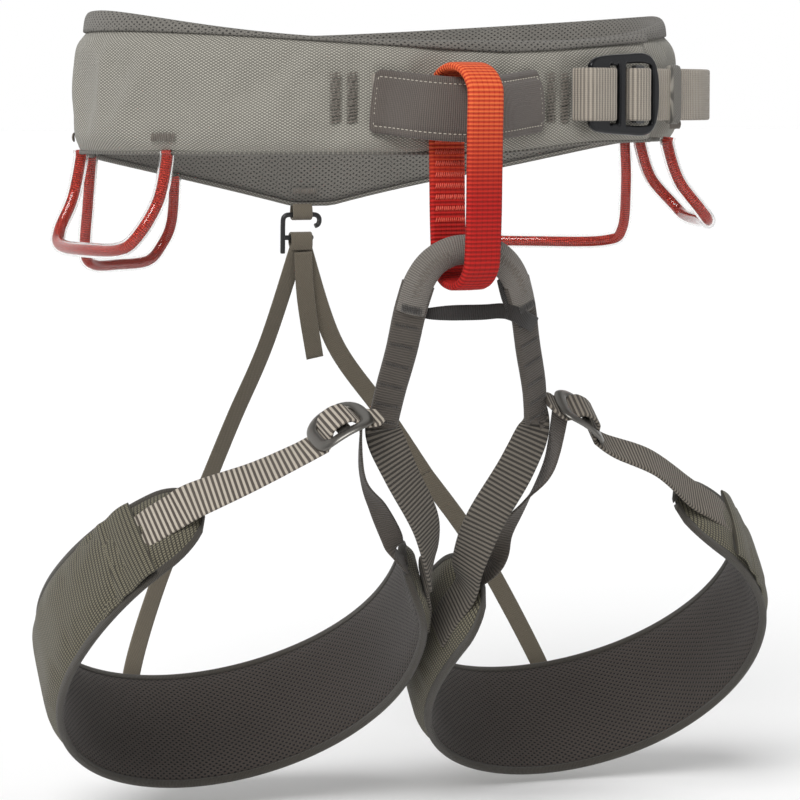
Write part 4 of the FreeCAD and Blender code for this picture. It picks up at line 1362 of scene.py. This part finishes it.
def risers():
    """Elastic risers, each in an upper and a lower length."""
    for side, name in SIDES:
        top = Vector((-6 + side * 2.0, HOOK_Y + 0.6 + 1.1 * side, HOOK_Z - 17.5))
        upper = [(top, Vector((0.2 * side, 1, 0))),
                 (Vector((-6 + side * 19, HOOK_Y + 1.0, -128)), Vector((0.3 * side, 1, 0))),
                 (Vector((-3 + side * 42, 106, -166)), Vector((0.35 * side, 1, -0.1))),
                 (Vector((-1 + side * 61.3, 99.9, -199.5)), Vector((0.35 * side, 1, -0.2)))]
        face = ring_out(side, RISER_RING_ANGLE)
        lower = [upper[-1], (Vector((side * 88, 92, -240)), Vector((0.35 * side, 1, -0.3)))]
        lower += [(on_ring(side, RISER_RING_ANGLE, h, 2.8), face) for h in (34, 8)]
        piece = strap("riser_%s_top_length" % name, upper, ELASTIC_W, ELASTIC_T, M["elastic"], 40)
        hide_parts("riser_%s_upper" % name)
        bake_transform(piece)
        piece = strap("riser_%s_low_length" % name, lower, ELASTIC_W, ELASTIC_T, M["elastic"], 50)
        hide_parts("riser_%s_lower" % name)
        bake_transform(piece)


# ---------------- hard parts
def closed_outline(half, tip=(), steps=10):
    """Smooth closed 2-D line through half an outline, its tip and the mirrored half."""
    points = half + list(tip) + [(x, -y) for x, y in reversed(half)]
    ring = points[-2:] + points + points[:2]
    rows = spline(ring, steps * (len(ring) - 1))
    return rows[2 * steps:-steps - 1]


def waist_buckle():
    """D-shaped frame with rounded edges, and its sliding bar."""
    origin, along, out = buckle_axes()
    lines = [closed_outline([(-21, -10), (-19.5, -15.5), (-13, -18), (4, -19.2), (17, -19.4),
                             (23.5, -15), (26, -6)]),
             closed_outline([(-7.5, -12), (-6, -13.5), (-3, -13.5), (-1.5, -12)]),
             closed_outline([(3.5, -12), (5.5, -14.5), (19, -14.5), (21.3, -11)], [(21.5, 0)])]
    curve = bpy.data.curves.new("buckle_outline", "CURVE")
    curve.dimensions = "2D"
    curve.fill_mode = "BOTH"
    round_edge = 1.3
    for line in lines:
        path = curve.splines.new("POLY")
        path.points.add(len(line) - 1)
        for point, (x, y) in zip(path.points, line):
            point.co = (x * MM, y * MM, 0, 1)
        path.use_cyclic_u = True
    curve.bevel_depth = round_edge * MM
    curve.bevel_resolution = 4
    curve.offset = -round_edge * MM
    curve.extrude = 0.35 * MM
    holder = bpy.data.objects.new("buckle_outline", curve)
    mesh = bpy.data.meshes.new_from_object(holder)
    bpy.data.objects.remove(holder)
    turn = Matrix((along, UP, out)).transposed().to_4x4()
    mesh.transform(Matrix.Translation((origin + out * 7.6) * MM) @ turn)
    mesh.polygons.foreach_set("use_smooth", [True] * len(mesh.polygons))
    mesh.materials.clear()
    mesh.materials.append(M["black_metal"])
    body = add_object("waist_buckle_body", mesh)
    assign(body, "waist_belt", "waist_buckle_frame")
    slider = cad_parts["waist_buckle_slider"]
    slider.data.materials.clear()
    slider.data.materials.append(M["black_metal"])


# ---------------- stage, light, camera
def stage():
    """Pale floor under the harness, and the soft sky and lamps."""
    low = CAD_BOX[0][2] - 0.004
    mesh = bpy.data.meshes.new("floor")
    size = 40.0
    corners = [(-size, -size, low), (size, -size, low), (size, size, low), (-size, size, low)]
    mesh.from_pydata(corners, [], [(0, 1, 2, 3)])
    paper = Shader("floor_paper", 0.9)
    paper.color((0.96, 0.96, 0.96))
    mesh.materials.append(paper.mat)
    add_object("floor", mesh)
    world = bpy.data.worlds.new("studio")
    sky = Nodes(world)
    ahead = sky.add("ShaderNodeSeparateXYZ", {0: sky.add("ShaderNodeTexCoord", {}, "Generated")}, "Y")
    reach = {"Value": ahead, "From Min": 0.1, "From Max": 0.75, "To Min": WORLD_FRONT,
             "To Max": WORLD_BACK}
    strength = sky.add("ShaderNodeMapRange", reach, interpolation_type="SMOOTHSTEP")
    sky.feed(sky.tree.nodes["Background"], {"Strength": strength, "Color": (1, 1, 1, 1)})
    bpy.context.scene.world = world
    bpy.context.scene.view_settings.view_transform = "Standard"
    for name, place, power, spread in LAMPS:
        data = bpy.data.lights.new(name, "SUN")
        data.energy = power
        data.angle = math.radians(spread)
        lamp = add_object(name, data)
        lamp.location = place
        lamp.rotation_euler = (-Vector(place)).to_track_quat("-Z", "Y").to_euler()


def camera():
    """Camera a little right of the wearer's front, just above belt height."""
    azimuth = math.radians(CAMERA_AZIMUTH)
    elevation = math.radians(CAMERA_ELEVATION)
    back = Vector((math.sin(azimuth) * math.cos(elevation),
                   -math.cos(azimuth) * math.cos(elevation), math.sin(elevation)))
    data = bpy.data.cameras.new("camera")
    data.sensor_width = CAMERA_SENSOR
    data.lens = CAMERA_LENS
    cam = add_object("camera", data)
    cam.location = CAMERA_TARGET + back * CAMERA_DISTANCE
    cam.rotation_euler = (-back).to_track_quat("-Z", "Y").to_euler()
    bpy.context.scene.camera = cam


camera()
stage()
belt_shell()
belt_liner()
belt_edge_roll()
belt_binding()
tie_in()
waist_straps()
gear_loops()
belay_loop()
bridge()
for leg_side, leg_name in SIDES:
    leg_pad(leg_side, leg_name)
    leg_straps(leg_side, leg_name)
    leg_buckle(leg_side, leg_name)
    leg_patches(leg_side, leg_name)
rear_hook()
risers()
waist_buckle()
